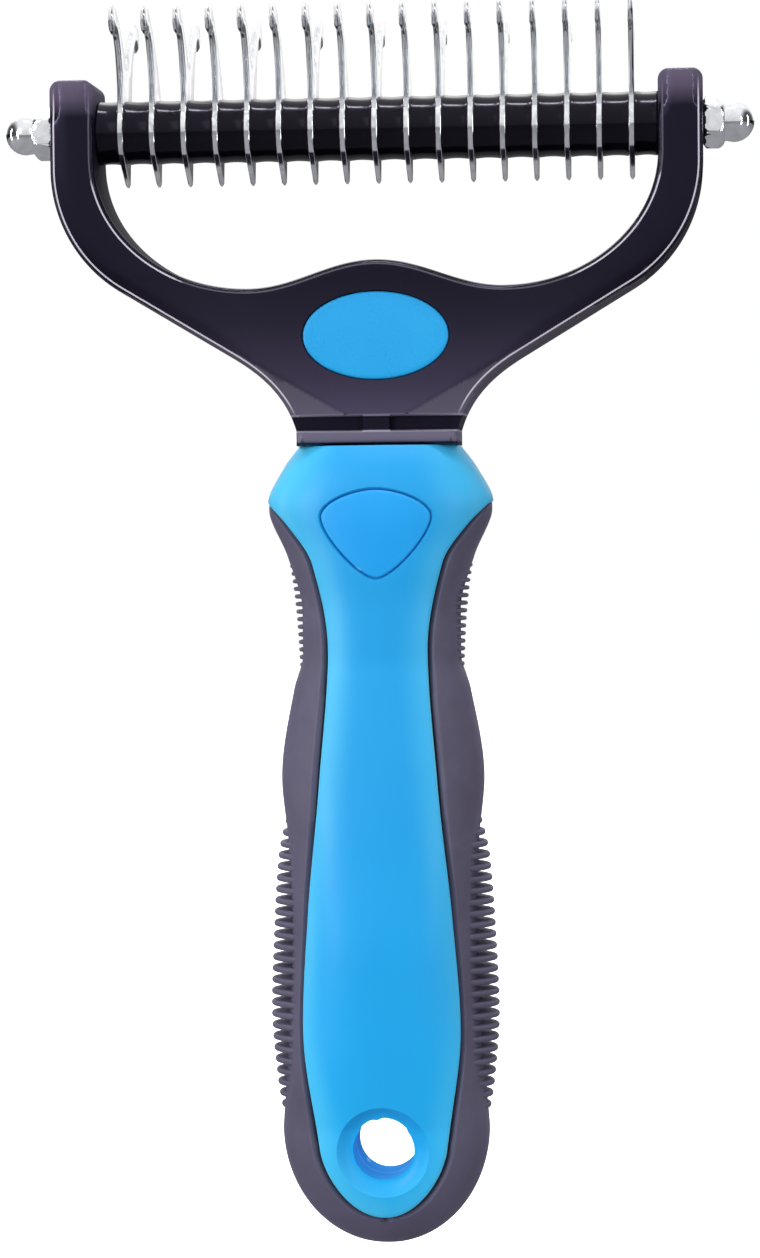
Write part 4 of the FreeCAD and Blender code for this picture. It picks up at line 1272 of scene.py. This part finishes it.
@dataclass
class HandleForm:
    """The handle's outer surface: squarish sections whose size changes along it."""

    exponent: float = 2.45
    heel: float = 3.0
    butt: float = -15.3
    panel_end: float = -10.8
    panel_cap_start: float = 0.3

    def __post_init__(self) -> None:
        """Make the curves along the handle."""
        sizes = [
            (108.3, 12.4, 7.5), (104.9, 14.9, 9.3), (99.4, 17.4, 10.2), (91.0, 14.3, 9.9),
            (83.0, 12.2, 9.5), (76.0, 12.2, 9.5), (71.0, 13.6, 9.9), (57.2, 15.65, 11.2),
            (47.0, 14.7, 12.0), (34.0, 14.25, 12.4), (18.0, 14.9, 11.0), (3.0, 16.05, 8.2),
        ]
        self.width_curve = smooth_curve([(z, w) for z, w, _ in sizes])
        self.depth_curve = smooth_curve([(z, d) for z, _, d in sizes])
        self.panel_curve = smooth_curve([
            (101.4, 19.4), (99.2, 17.2), (95.7, 13.8), (90.2, 10.2), (77.0, 7.85), (57.2, 9.2),
            (36.0, 11.35), (19.0, 12.35), (0.3, 10.0)])

    def butt_share(self, z: np.ndarray) -> np.ndarray:
        """How much of the heel's section is left at a height in the rounded butt."""
        down = np.clip((self.heel - np.asarray(z, float)) / (self.heel - self.butt), 0.0, 1.0)
        return np.sqrt(1.0 - down ** 2)

    def half_width(self, z: np.ndarray) -> np.ndarray:
        """Half width at each height."""
        return self.width_curve(z) * self.butt_share(z)

    def half_depth(self, z: np.ndarray) -> np.ndarray:
        """Half depth at each height."""
        return self.depth_curve(z) * self.butt_share(z)

    def panel_half_width(self, z: np.ndarray) -> np.ndarray:
        """Half width of the azure panel; it closes in a round end near the butt."""
        z = np.asarray(z, float)
        drop = self.panel_cap_start - self.panel_end
        down = np.clip((self.panel_cap_start - z) / drop, 0.0, 1.0)
        slanted = self.panel_curve(z) - 0.1 * down * drop
        return slanted * np.sqrt(np.maximum(0.0, 1.0 - down ** 1.74))

    def unroll(self, outline: np.ndarray) -> np.ndarray:
        """An outline in (x, z) laid out flat along the section."""
        width = self.half_width(outline[:, 1])
        angle = np.arcsin(np.clip(outline[:, 0] / width, -1.0, 1.0))
        return np.stack([width * angle, outline[:, 1]], axis=1)

    def edge_angle(self, z: np.ndarray) -> np.ndarray:
        """Angle round the section, from its middle to the panel's edge."""
        width = np.maximum(self.half_width(z), 1e-6)
        return np.arcsin(np.clip(self.panel_half_width(z) / width, 0.0, 1.0))

    def surface(
        self, angle: np.ndarray, z: np.ndarray, lift: np.ndarray, face: np.ndarray
    ) -> np.ndarray:
        """Points on the handle.

        Args:
            angle: from -90 degrees at the left side to 90 at the right, in radians.
            z: heights.
            lift: how far each point stands off the surface.
            face: -1 for the front half, 1 for the rear.
        Returns:
            The points.
        """
        power = self.exponent
        width = np.maximum(self.half_width(z), 1e-4)
        depth = np.maximum(self.half_depth(z), 1e-4)
        across = np.sin(angle)
        remain = np.maximum(0.0, 1.0 - np.abs(across) ** power)
        x, y = width * across, face * depth * remain ** (1.0 / power)
        step = 0.02
        low, high = np.maximum(z - step, self.butt + 1e-3), np.minimum(z + step, NECK_HEIGHT)
        run = np.maximum(high - low, 1e-6)
        grow_w = (self.half_width(high) - self.half_width(low)) / run / width
        grow_d = (self.half_depth(high) - self.half_depth(low)) / run / depth
        normal = np.stack([
            np.sign(x) * np.abs(across) ** (power - 1.0) / width,
            face * remain ** ((power - 1.0) / power) / depth,
            -(np.abs(across) ** power * grow_w + remain * grow_d),
        ], axis=1)
        normal /= np.maximum(np.linalg.norm(normal, axis=1, keepdims=True), 1e-9)
        return np.stack([x, y, z], axis=1) + normal * np.asarray(lift)[:, None]


@dataclass
class HandleShell:
    """One azure shell: panel, shoulder, thumb pocket and dished hanging hole."""

    form: HandleForm
    finish: bpy.types.Material
    face: Face
    edge_fall: float = 0.55
    edge_width: float = 0.55
    pocket_depth: float = 0.75
    dish_radius: float = 7.1
    dish_depth: float = 1.7
    hole_radius: float = 4.9
    wall: float = 1.3

    def circle(self, radius: float, notch: float = 0.0) -> np.ndarray:
        """A ring round the hanging hole, with a small nib at its top."""
        angle = np.linspace(0.0, 2.0 * math.pi, 97)[:-1]
        nib = notch * np.exp(-((angle - 0.56 * math.pi) / 0.13) ** 2)
        return np.stack([(radius - nib) * np.cos(angle), (radius - nib) * np.sin(angle)], axis=1)

    def build(self) -> bpy.types.Object:
        """Make the shell.

        Returns:
            The finished piece.
        """
        form = self.form
        heights = np.concatenate([
            form.panel_end + 5.0 * (1.0 - np.cos(np.linspace(0.0, 0.5 * math.pi, 22))),
            np.arange(form.panel_end + 5.6, 98.6, 0.7),
            np.arange(98.6, 101.4, 0.2),
            np.arange(101.6, NECK_HEIGHT - 0.2, 0.6),
            [NECK_HEIGHT],
        ])
        reach = form.half_width(heights) * form.edge_angle(heights)
        right = np.stack([reach, heights], axis=1)
        top = np.linspace(right[-1], right[-1] * MIRROR, 40)[1:-1]
        left = right[::-1][:-1] * MIRROR
        boundary = closed_loop(np.concatenate([right, top, left]))
        pad = form.unroll(thumb_outline())
        loops = [boundary]
        loops += [inset_loop(boundary, d) for d in (0.1, 0.25, 0.5, 0.9)]
        loops += [inset_loop(pad, d) for d in (-0.55, -0.3, -0.12, 0.0, 0.12)]
        rings = [(self.hole_radius, 0.3), (5.05, 0.28), (5.5, 0.15), (6.1, 0.0), (6.6, 0.0),
                 (6.9, 0.0), (7.1, 0.0), (7.35, 0.0)]
        hole = [form.unroll(self.circle(radius, notch)) for radius, notch in rings]
        loops += hole

        def clear(points: np.ndarray) -> np.ndarray:
            """Whether points keep away from the edge, the pad and the hole."""
            free = depth_inside(points, boundary) > 1.3
            free &= (depth_inside(points, pad) < -0.9) | (depth_inside(points, pad) > 0.6)
            return free & (depth_inside(points, hole[-1]) < -0.5)

        loose = mesh_points((-18.0 * 1.6, -11.0), (18.0 * 1.6, NECK_HEIGHT), 1.15, clear)
        flat, triangles = fill_region(
            loops, loose,
            lambda centres: (depth_inside(centres, boundary) > 0.0)
            & (depth_inside(centres, hole[0]) < 0.0))
        q, z = flat[:, 0], flat[:, 1]
        width = form.half_width(z)
        angle = np.clip(q / width, -0.5 * math.pi, 0.5 * math.pi)
        edge = np.clip(depth_inside(flat, boundary), 0.0, None)
        seam = smooth_step(z, 99.0, 100.6)
        fall = self.edge_fall * (1.0 - seam) + 0.09 * seam
        reach_in = self.edge_width * (1.0 - seam) + 0.2 * seam
        lift = -fall * (1.0 - np.clip(edge / reach_in, 0.0, 1.0)) ** 2.2
        in_pad = depth_inside(flat, pad)
        lift -= self.pocket_depth * smooth_step(in_pad, -0.2, -0.02)
        lift -= 0.1 * (1.0 - np.clip(-in_pad / 0.55, 0.0, 1.0)) ** 2 * (in_pad < 0.0)
        x = width * np.sin(angle)
        radius = np.hypot(x, z)
        share = np.clip(
            (self.dish_radius - radius) / (self.dish_radius - self.hole_radius), 0.0, 1.0)
        lift -= self.dish_depth * (1.0 - (1.0 - share) ** 1.7)
        face = np.full(len(z), self.face.value)
        points = form.surface(angle, z, lift, face)
        if self.face is Face.REAR:
            triangles = triangles[:, ::-1]
        # the wall of the hole runs in to the parting plane
        rim_flat = hole[0]
        near = np.linalg.norm(flat[None, :, :] - rim_flat[:, None, :], axis=2).argmin(axis=1)
        rim = points[near]
        steps = 6
        tube = [np.stack([rim[:, 0], rim[:, 1] * (1.0 - s / steps), rim[:, 2]], axis=1)
                for s in range(steps + 1)]
        base = len(points)
        tube_faces = shifted(grid_faces(steps + 1, len(rim), wrap=True), base)
        if self.face is Face.REAR:
            tube_faces = flipped(tube_faces)
        points = np.concatenate([points, *tube])
        name = "handle_%s_shell" % self.face.name.lower()
        piece = new_mesh(
            "azure_shell_" + self.face.name.lower(), points,
            triangles.tolist() + tube_faces, self.finish)
        thicken(piece, self.wall)

        def paleness(places: np.ndarray) -> np.ndarray:
            """Painted highlights: a bright rim along the rubber, and painted light on the flanks,
            most of all on the left.
            """
            x, z = places[:, 0], places[:, 2]
            width = form.half_width(z)
            near = np.clip(x / width, -1.0, 1.0)
            inset = depth_inside(np.stack([width * np.arcsin(near), z], axis=1), boundary)
            # painted light from the left: the left flank paler than the right
            side = np.where(x < 0.0, 1.0, 0.7)
            shoulder = smooth_step(z, 94.0, 100.0)
            # painted highlight along the rim next to the rubber
            rim = smooth_step(inset, -0.05, 0.1) * (1.0 - smooth_step(inset, 0.3, 0.6))
            flank = 0.30 * (1.0 - smooth_step(inset, 0.5, 6.0)) * (1.0 - shoulder)
            flank += 0.42 * smooth_step(np.abs(near), 0.35, 0.95) * shoulder
            return np.maximum(0.8 * rim * (1.0 - smooth_step(z, 98.0, 101.0)), side * flank)

        def mattness(places: np.ndarray) -> np.ndarray:
            """The wall of the hole is matt."""
            radius = np.hypot(places[:, 0], places[:, 2])
            return 1.0 - smooth_step(radius, self.hole_radius + 0.05, self.hole_radius + 0.3)

        mark(piece, "paleness", paleness)
        mark(piece, "mattness", mattness)
        return settle(piece, "handle_plastic", name)


def thumb_outline() -> np.ndarray:
    """The thumb pad's outline in (x, z): arched top, round shoulders, narrow foot."""
    top, shoulder, bottom, wide = 101.6, 97.4, 88.0, 8.5
    right = even_steps(chain([
        hermite((0.0, top), (wide, shoulder), (1.3 * wide, 0.0),
                (0.0, -1.5 * (top - shoulder)), 30),
        hermite((wide, shoulder), (0.0, bottom), (0.0, -0.9 * (shoulder - bottom)),
                (-0.9 * wide, 0.0), 40),
    ]), 0.4)
    return closed_loop(chain([right, (right * MIRROR)[::-1]]))


@dataclass
class ThumbPad:
    """Azure pad let into the shell, with a rounded rim inside a thin groove."""

    form: HandleForm
    finish: bpy.types.Material
    face: Face
    gap: float = 0.1
    rim: float = 0.35
    crown: float = 0.12
    thickness: float = 0.7

    def build(self) -> bpy.types.Object:
        """Make the pad.

        Returns:
            The finished piece.
        """
        boundary = inset_loop(self.form.unroll(thumb_outline()), self.gap)
        loops = [boundary] + [inset_loop(boundary, d) for d in (0.05, 0.13, 0.24, self.rim, 0.7)]
        loose = mesh_points((-10.0, 87.0), (10.0, 103.0), 0.9,
                            lambda points: depth_inside(points, boundary) > 1.0)
        flat, triangles = fill_region(
            loops, loose, lambda centres: depth_inside(centres, boundary) > 0.0)
        inside = np.clip(depth_inside(flat, boundary), 0.0, None)
        round_off = self.rim - np.sqrt(
            np.maximum(0.0, self.rim ** 2 - (self.rim - np.minimum(inside, self.rim)) ** 2))
        lift = self.crown * smooth_step(inside, 0.2, 5.0) - round_off - 0.04
        angle = flat[:, 0] / self.form.half_width(flat[:, 1])
        points = self.form.surface(angle, flat[:, 1], lift, np.full(len(flat), self.face.value))
        if self.face is Face.REAR:
            triangles = triangles[:, ::-1]
        name = "thumb_pad_" + self.face.name.lower()
        piece = new_mesh(name + "_inlay", points, triangles, self.finish)
        thicken(piece, self.thickness)
        return settle(piece, "pad_plastic", name)


@dataclass
class FinRow:
    """A row of thin rubber fins that stand out from one flank of the grip."""

    name: str
    low: float
    high: float
    pitch: float
    thickness: float
    tips: Sequence[tuple[float, float]]
    run_out: float
    radial: float
    rounding: float
    sweep: float = 1.7


@dataclass
class Grip:
    """Overmoulded rubber sleeve round the handle's edge, with fins on both flanks."""

    form: HandleForm
    finish: bpy.types.Material
    gap: float = 0.5
    edge_fall: float = 0.7
    edge_width: float = 0.7
    wall: float = 1.4
    lip_width: float = 2.4
    lip_depth: float = 1.55
    tip: float = 100.1

    def build_sleeve(self) -> bpy.types.Object:
        """Make the sleeve: both flanks joined round the butt.

        Returns:
            The sleeve with its wall.
        """
        form = self.form
        end = form.panel_end
        lower = end - (end - form.butt) * np.sin(np.linspace(0.0, 0.5 * math.pi, 20))
        # more rows where the gap round the panel closes below its end
        closing = end - self.gap * np.array([0.3, 0.6, 0.8, 0.92, 0.98, 1.001])
        lower = np.concatenate([lower[:1], closing, lower[lower < end - 1.1 * self.gap]])
        heights = np.concatenate([
            lower[::-1][:-1],
            end + 4.0 * (1.0 - np.cos(np.linspace(0.0, 0.5 * math.pi, 20))),
            np.arange(end + 4.5, 97.0, 0.75),
            np.linspace(97.1, self.tip, 16),
        ])
        share = np.linspace(0.0, 1.0, 25)
        arc_share = np.concatenate([-(1.0 - share), share[1:]])
        width = np.maximum(form.half_width(heights), 1e-4)
        reach = width * form.edge_angle(heights) + self.gap
        reach = np.where(heights < end - self.gap, 0.0, np.where(
            heights < end,
            self.gap * np.sqrt(np.clip(1.0 - ((end - heights) / self.gap) ** 2, 0.0, 1.0)), reach))
        edge = np.clip(reach / width, 0.0, 0.5 * math.pi)
        rows = []
        for height, start in zip(heights, edge):
            span = 0.5 * math.pi - start
            away = np.abs(arc_share) ** 1.2245 * span
            angle = 0.5 * math.pi - away
            face = np.where(arc_share < 0.0, -1.0, 1.0)
            local = (span - away) * max(float(form.half_width(np.array([height]))[0]), 0.1)
            open_edge = 1.0 if height > end - self.gap else 0.0
            lift = -self.edge_fall * open_edge * (
                1.0 - np.clip(local / self.edge_width, 0.0, 1.0)) ** 2.2
            tip_fade = float(smooth_step(np.array([height]), self.tip - 3.0, self.tip)[0])
            lift = lift * (1.0 - 0.6 * tip_fade) - 0.25 * tip_fade
            # the sleeve dips beside the panel and reaches under it as a lip
            under = max(0.0, start - self.lip_width / max(float(form.half_width(height)), 0.1))
            angle = np.concatenate([[under, start], angle, [start, under]])
            lift = np.concatenate([[-self.lip_depth] * 2, lift, [-self.lip_depth] * 2])
            lift[:2] *= open_edge
            lift[-2:] *= open_edge
            face = np.concatenate([[-1.0, -1.0], face, [1.0, 1.0]])
            rows.append(form.surface(angle, np.full(len(angle), height), lift, face))
        columns = len(arc_share) + 4
        right = np.concatenate(rows)
        faces = grid_faces(len(rows), columns)
        left = right * np.array([-1.0, 1.0, 1.0])
        both = np.concatenate([right, left])
        base = len(right)
        faces = faces + shifted(flipped(faces), base)
        piece = new_mesh("rubber_grip", both, faces, self.finish)
        thicken(piece, self.wall)
        return piece

    def fin_tree(self) -> tuple[Any, dict[str, str]]:
        """The tree that puts one crescent fin on every place."""
        tree, given, identifiers = geometry_tree(
            "grip_fins", ["Reach", "Radial", "Thickness", "Rounding", "Sweep"])
        radius = maths(tree, "SUBTRACT", given.outputs["Reach"],
                       maths(tree, "MULTIPLY", given.outputs["Radial"], 0.5))
        start = maths(tree, "MULTIPLY", given.outputs["Sweep"], -0.5)
        bow = add_node(tree, "GeometryNodeCurveArc", {
            "Resolution": 22, "Radius": radius, "Start Angle": start,
            "Sweep Angle": given.outputs["Sweep"]},
            mode="RADIUS")
        block = add_node(tree, "GeometryNodeCurvePrimitiveQuadrilateral", {
            "Width": given.outputs["Radial"], "Height": given.outputs["Thickness"]},
            mode="RECTANGLE")
        rounded = add_node(tree, "GeometryNodeFilletCurve", {
            "Curve": block.outputs["Curve"], "Radius": given.outputs["Rounding"],
            "Count": 3}, mode="POLY")
        fin = add_node(tree, "GeometryNodeCurveToMesh", {
            "Curve": bow.outputs["Curve"], "Profile Curve": rounded.outputs["Curve"],
            "Fill Caps": True})
        placed = add_node(tree, "GeometryNodeInstanceOnPoints", {
            "Points": given.outputs["Geometry"], "Instance": fin.outputs["Mesh"],
            "Rotation": given_vector(tree, "fin_turn"), "Scale": given_vector(tree, "fin_size")})
        end_tree(tree, placed.outputs["Instances"], self.finish)
        return tree, identifiers

    def build_fins(self, row: FinRow, tree: Any, identifiers: dict[str, str]) -> bpy.types.Object:
        """Make one kind of fin on both flanks.

        Args:
            row: the fins' sizes.
            tree: the fin tree.
            identifiers: its inputs' identifiers.
        Returns:
            The fins as one mesh.
        """
        count = int(round((row.high - row.low) / row.pitch)) + 1
        heights = np.linspace(row.low, row.high, count)
        tips = smooth_curve(row.tips)(heights)
        width, depth = self.form.half_width(heights), self.form.half_depth(heights)
        power = self.form.exponent
        flank = width * (1.0 - (row.run_out / depth) ** power) ** (1.0 / power)
        half_depth = row.run_out / np.sqrt(1.0 - np.clip(flank / tips, 0.0, 0.97) ** 2)
        half_depth = np.minimum(half_depth, 0.86 * depth)
        reach = float(np.mean(tips))
        places, sizes, turns = [], [], []
        for side in (0.0, math.pi):
            for height, tip, deep in zip(heights, tips, half_depth):
                places.append((0.0, 0.0, height))
                sizes.append((tip / reach, deep / reach, 1.0))
                turns.append((0.0, 0.0, side))
        return run_tree(
            row.name, np.array(places), {"fin_size": np.array(sizes), "fin_turn": np.array(turns)},
            tree, identifiers,
            {"Reach": reach * MM, "Radial": row.radial * MM, "Thickness": row.thickness * MM,
             "Rounding": row.rounding * MM, "Sweep": row.sweep}, self.finish)

    def build(self) -> list[bpy.types.Object]:
        """Make the sleeve and its fins.

        Returns:
            The finished pieces.
        """
        sleeve = self.build_sleeve()
        tree, identifiers = self.fin_tree()
        palm = FinRow(
            "palm_fins", 4.6, 50.4, 1.76, 0.95,
            [(52.0, 14.9), (45.0, 16.45), (34.0, 17.25), (21.0, 17.75), (10.0, 16.9),
             (3.0, 15.7)],
            run_out=5.4, radial=4.4, rounding=0.42)
        waist = FinRow(
            "waist_fins", 74.6, 91.0, 1.18, 0.62,
            [(92.5, 14.6), (87.0, 13.7), (81.0, 13.1), (73.6, 12.7)],
            run_out=4.4, radial=2.2, rounding=0.27)
        pieces = [settle(sleeve, "grip_rubber", "grip_sleeve")]
        for row in (palm, waist):
            fins = self.build_fins(row, tree, identifiers)
            pieces.append(settle(fins, "grip_rubber", "grip_sleeve"))
        return pieces


# ---------------------------------------------------------------- studio


@dataclass(frozen=True)
class Softbox:
    """One soft studio light."""

    name: str
    place: tuple[float, float, float]
    width: float
    height: float
    watts: float
    aim: tuple[float, float, float] = (0.0, 0.0, 0.085)

    def build(self) -> None:
        """Hang the light and turn it to the comb."""
        data = bpy.data.lights.new(self.name, "AREA")
        data.shape = "RECTANGLE"
        data.size, data.size_y, data.energy = self.width, self.height, self.watts
        light = add_object(self.name, data)
        light.location = self.place
        toward = Vector(self.aim) - Vector(self.place)
        light.rotation_euler = toward.to_track_quat("-Z", "Y").to_euler()


@dataclass
class Studio:
    """Pale floor, soft lights and the camera."""

    floor_height: float = -0.12
    floor_side: float = 4.0
    azimuth: float = 5.0
    elevation: float = 2.0
    roll: float = 0.57
    distance: float = 0.54
    aim: tuple[float, float, float] = (-0.0003, 0.0, 0.080)

    def build_floor(self) -> None:
        """Lay a wide pale floor."""
        material, tree, place = open_material("pale_studio_floor")
        paper = noise(tree, place, 40.0, 4.0)
        tint = ramp(tree, paper, [(0.3, "#f4f4f4"), (0.7, "#f8f8f8")])
        sight = add_node(tree, "ShaderNodeLightPath").outputs["Is Camera Ray"]
        close_material(material, {
            "Base Color": blended(tree, sight, linear_colour("#7c7c80"), tint),
            "Roughness": 0.9, "Emission Color": linear_colour(WHITE),
            "Emission Strength": ranged(tree, sight, (0.0, 1.0), (0.05, 0.9))})
        side = self.floor_side
        mesh = bpy.data.meshes.new("floor")
        corners = ((-side, -side), (side, -side), (side, side), (-side, side))
        mesh.from_pydata([(x, y, self.floor_height) for x, y in corners], [], [(0, 1, 2, 3)])
        mesh.materials.append(material)
        add_object("floor", mesh)

    def build_air(self) -> None:
        """White seamless surroundings whose reflections have dark flags at both sides."""
        world = bpy.data.worlds.new("studio_air")
        bpy.context.scene.world = world
        world.use_nodes = True
        tree = world.node_tree
        tree.nodes.clear()
        where = add_node(tree, "ShaderNodeTexCoord").outputs["Generated"]
        split = add_node(tree, "ShaderNodeSeparateXYZ", {"Vector": where})
        upward = ranged(tree, split.outputs["Z"], (-1.0, 1.0), (0.42, 1.10))
        aside = maths(tree, "ABSOLUTE", split.outputs["X"])
        flags = ranged(tree, aside, (0.55, 0.80), (1.0, 0.10))
        # behind the comb the reflected wall is dark up to the height of the blades
        wall = ranged(tree, split.outputs["Z"], (0.105, 0.118), (0.10, 1.1))
        behind = maths(tree, "GREATER_THAN", split.outputs["Y"], 0.2)
        level = blended(tree, behind, upward, wall, data_type="FLOAT")
        dimmed = maths(tree, "MULTIPLY", level, flags)
        sight = add_node(tree, "ShaderNodeLightPath").outputs["Is Camera Ray"]
        seen = blended(tree, sight, dimmed, 1.02, data_type="FLOAT")
        glow = add_node(tree, "ShaderNodeBackground", {
            "Color": linear_colour(WHITE), "Strength": seen})
        add_node(tree, "ShaderNodeOutputWorld", {"Surface": glow.outputs["Background"]})

    def build_lights(self) -> None:
        """Hang the softboxes."""
        for light in (
            Softbox("key", (-0.55, -0.95, 0.55), 0.5, 0.6, 1.0),
            Softbox("strip_left", (-0.60, -0.62, 0.06), 0.05, 0.9, 4.0),
            Softbox("strip_right", (0.64, -0.62, 0.06), 0.04, 0.9, 1.7),
            Softbox("side_left", (-0.95, -0.05, 0.12), 0.12, 0.9, 2.6),
            Softbox("side_right", (0.95, -0.05, 0.12), 0.10, 0.9, 1.6),
            Softbox("top", (0.0, -0.12, 0.95), 0.30, 0.05, 2.2, (0.0, 0.0, 0.157)),
            Softbox("back", (-0.3, 0.80, 0.95), 0.9, 0.5, 3.0),
        ):
            light.build()

    def build_camera(self) -> None:
        """Stand the camera a little right of the middle and a little high."""
        data = bpy.data.cameras.new("camera")
        data.sensor_width = 36.0
        data.lens = 100.0
        data.clip_start, data.clip_end = 0.01, 20.0
        camera = add_object("camera", data)
        turn, rise = math.radians(self.azimuth), math.radians(self.elevation)
        back = Vector((
            math.sin(turn) * math.cos(rise), -math.cos(turn) * math.cos(rise), math.sin(rise)))
        camera.location = Vector(self.aim) + back * self.distance
        facing = (-back).to_track_quat("-Z", "Y").to_matrix()
        rolled = facing @ Matrix.Rotation(math.radians(-self.roll), 3, "Z")
        camera.rotation_mode = "QUATERNION"
        camera.rotation_quaternion = rolled.to_quaternion()
        bpy.context.scene.camera = camera

    def build(self) -> None:
        """Set up the whole studio."""
        bpy.context.scene.view_settings.view_transform = "Standard"
        self.build_floor()
        self.build_air()
        self.build_lights()
        self.build_camera()


def main() -> None:
    """Build the comb in order and report each piece."""
    logging.basicConfig(level=logging.INFO, format="%(message)s")
    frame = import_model()
    Studio().build()
    finishes = Finishes()
    Yoke(finishes.yoke.build()).build()
    badge = finishes.badge.build()
    pad = finishes.pad.build()
    shell = finishes.shell.build()
    form = HandleForm()
    for face in Face:
        Badge(badge, face).build()
        HandleShell(form, shell, face).build()
        ThumbPad(form, pad, face).build()
    Grip(form, finishes.grip.build()).build()
    pack = BladePack(finishes.blade.build(), finishes.spacer.build())
    pack.build_blades()
    pack.build_spacers()
    chrome = finishes.nut.build()
    CapNut(chrome, "cap_nut_left", -1.0).build()
    CapNut(chrome, "cap_nut_right", 1.0).build()
    axle = frame["nodes"]["axle"]
    axle.data.materials.clear()
    axle.data.materials.append(finishes.axle.build())


if __name__ == "__main__":
    main()
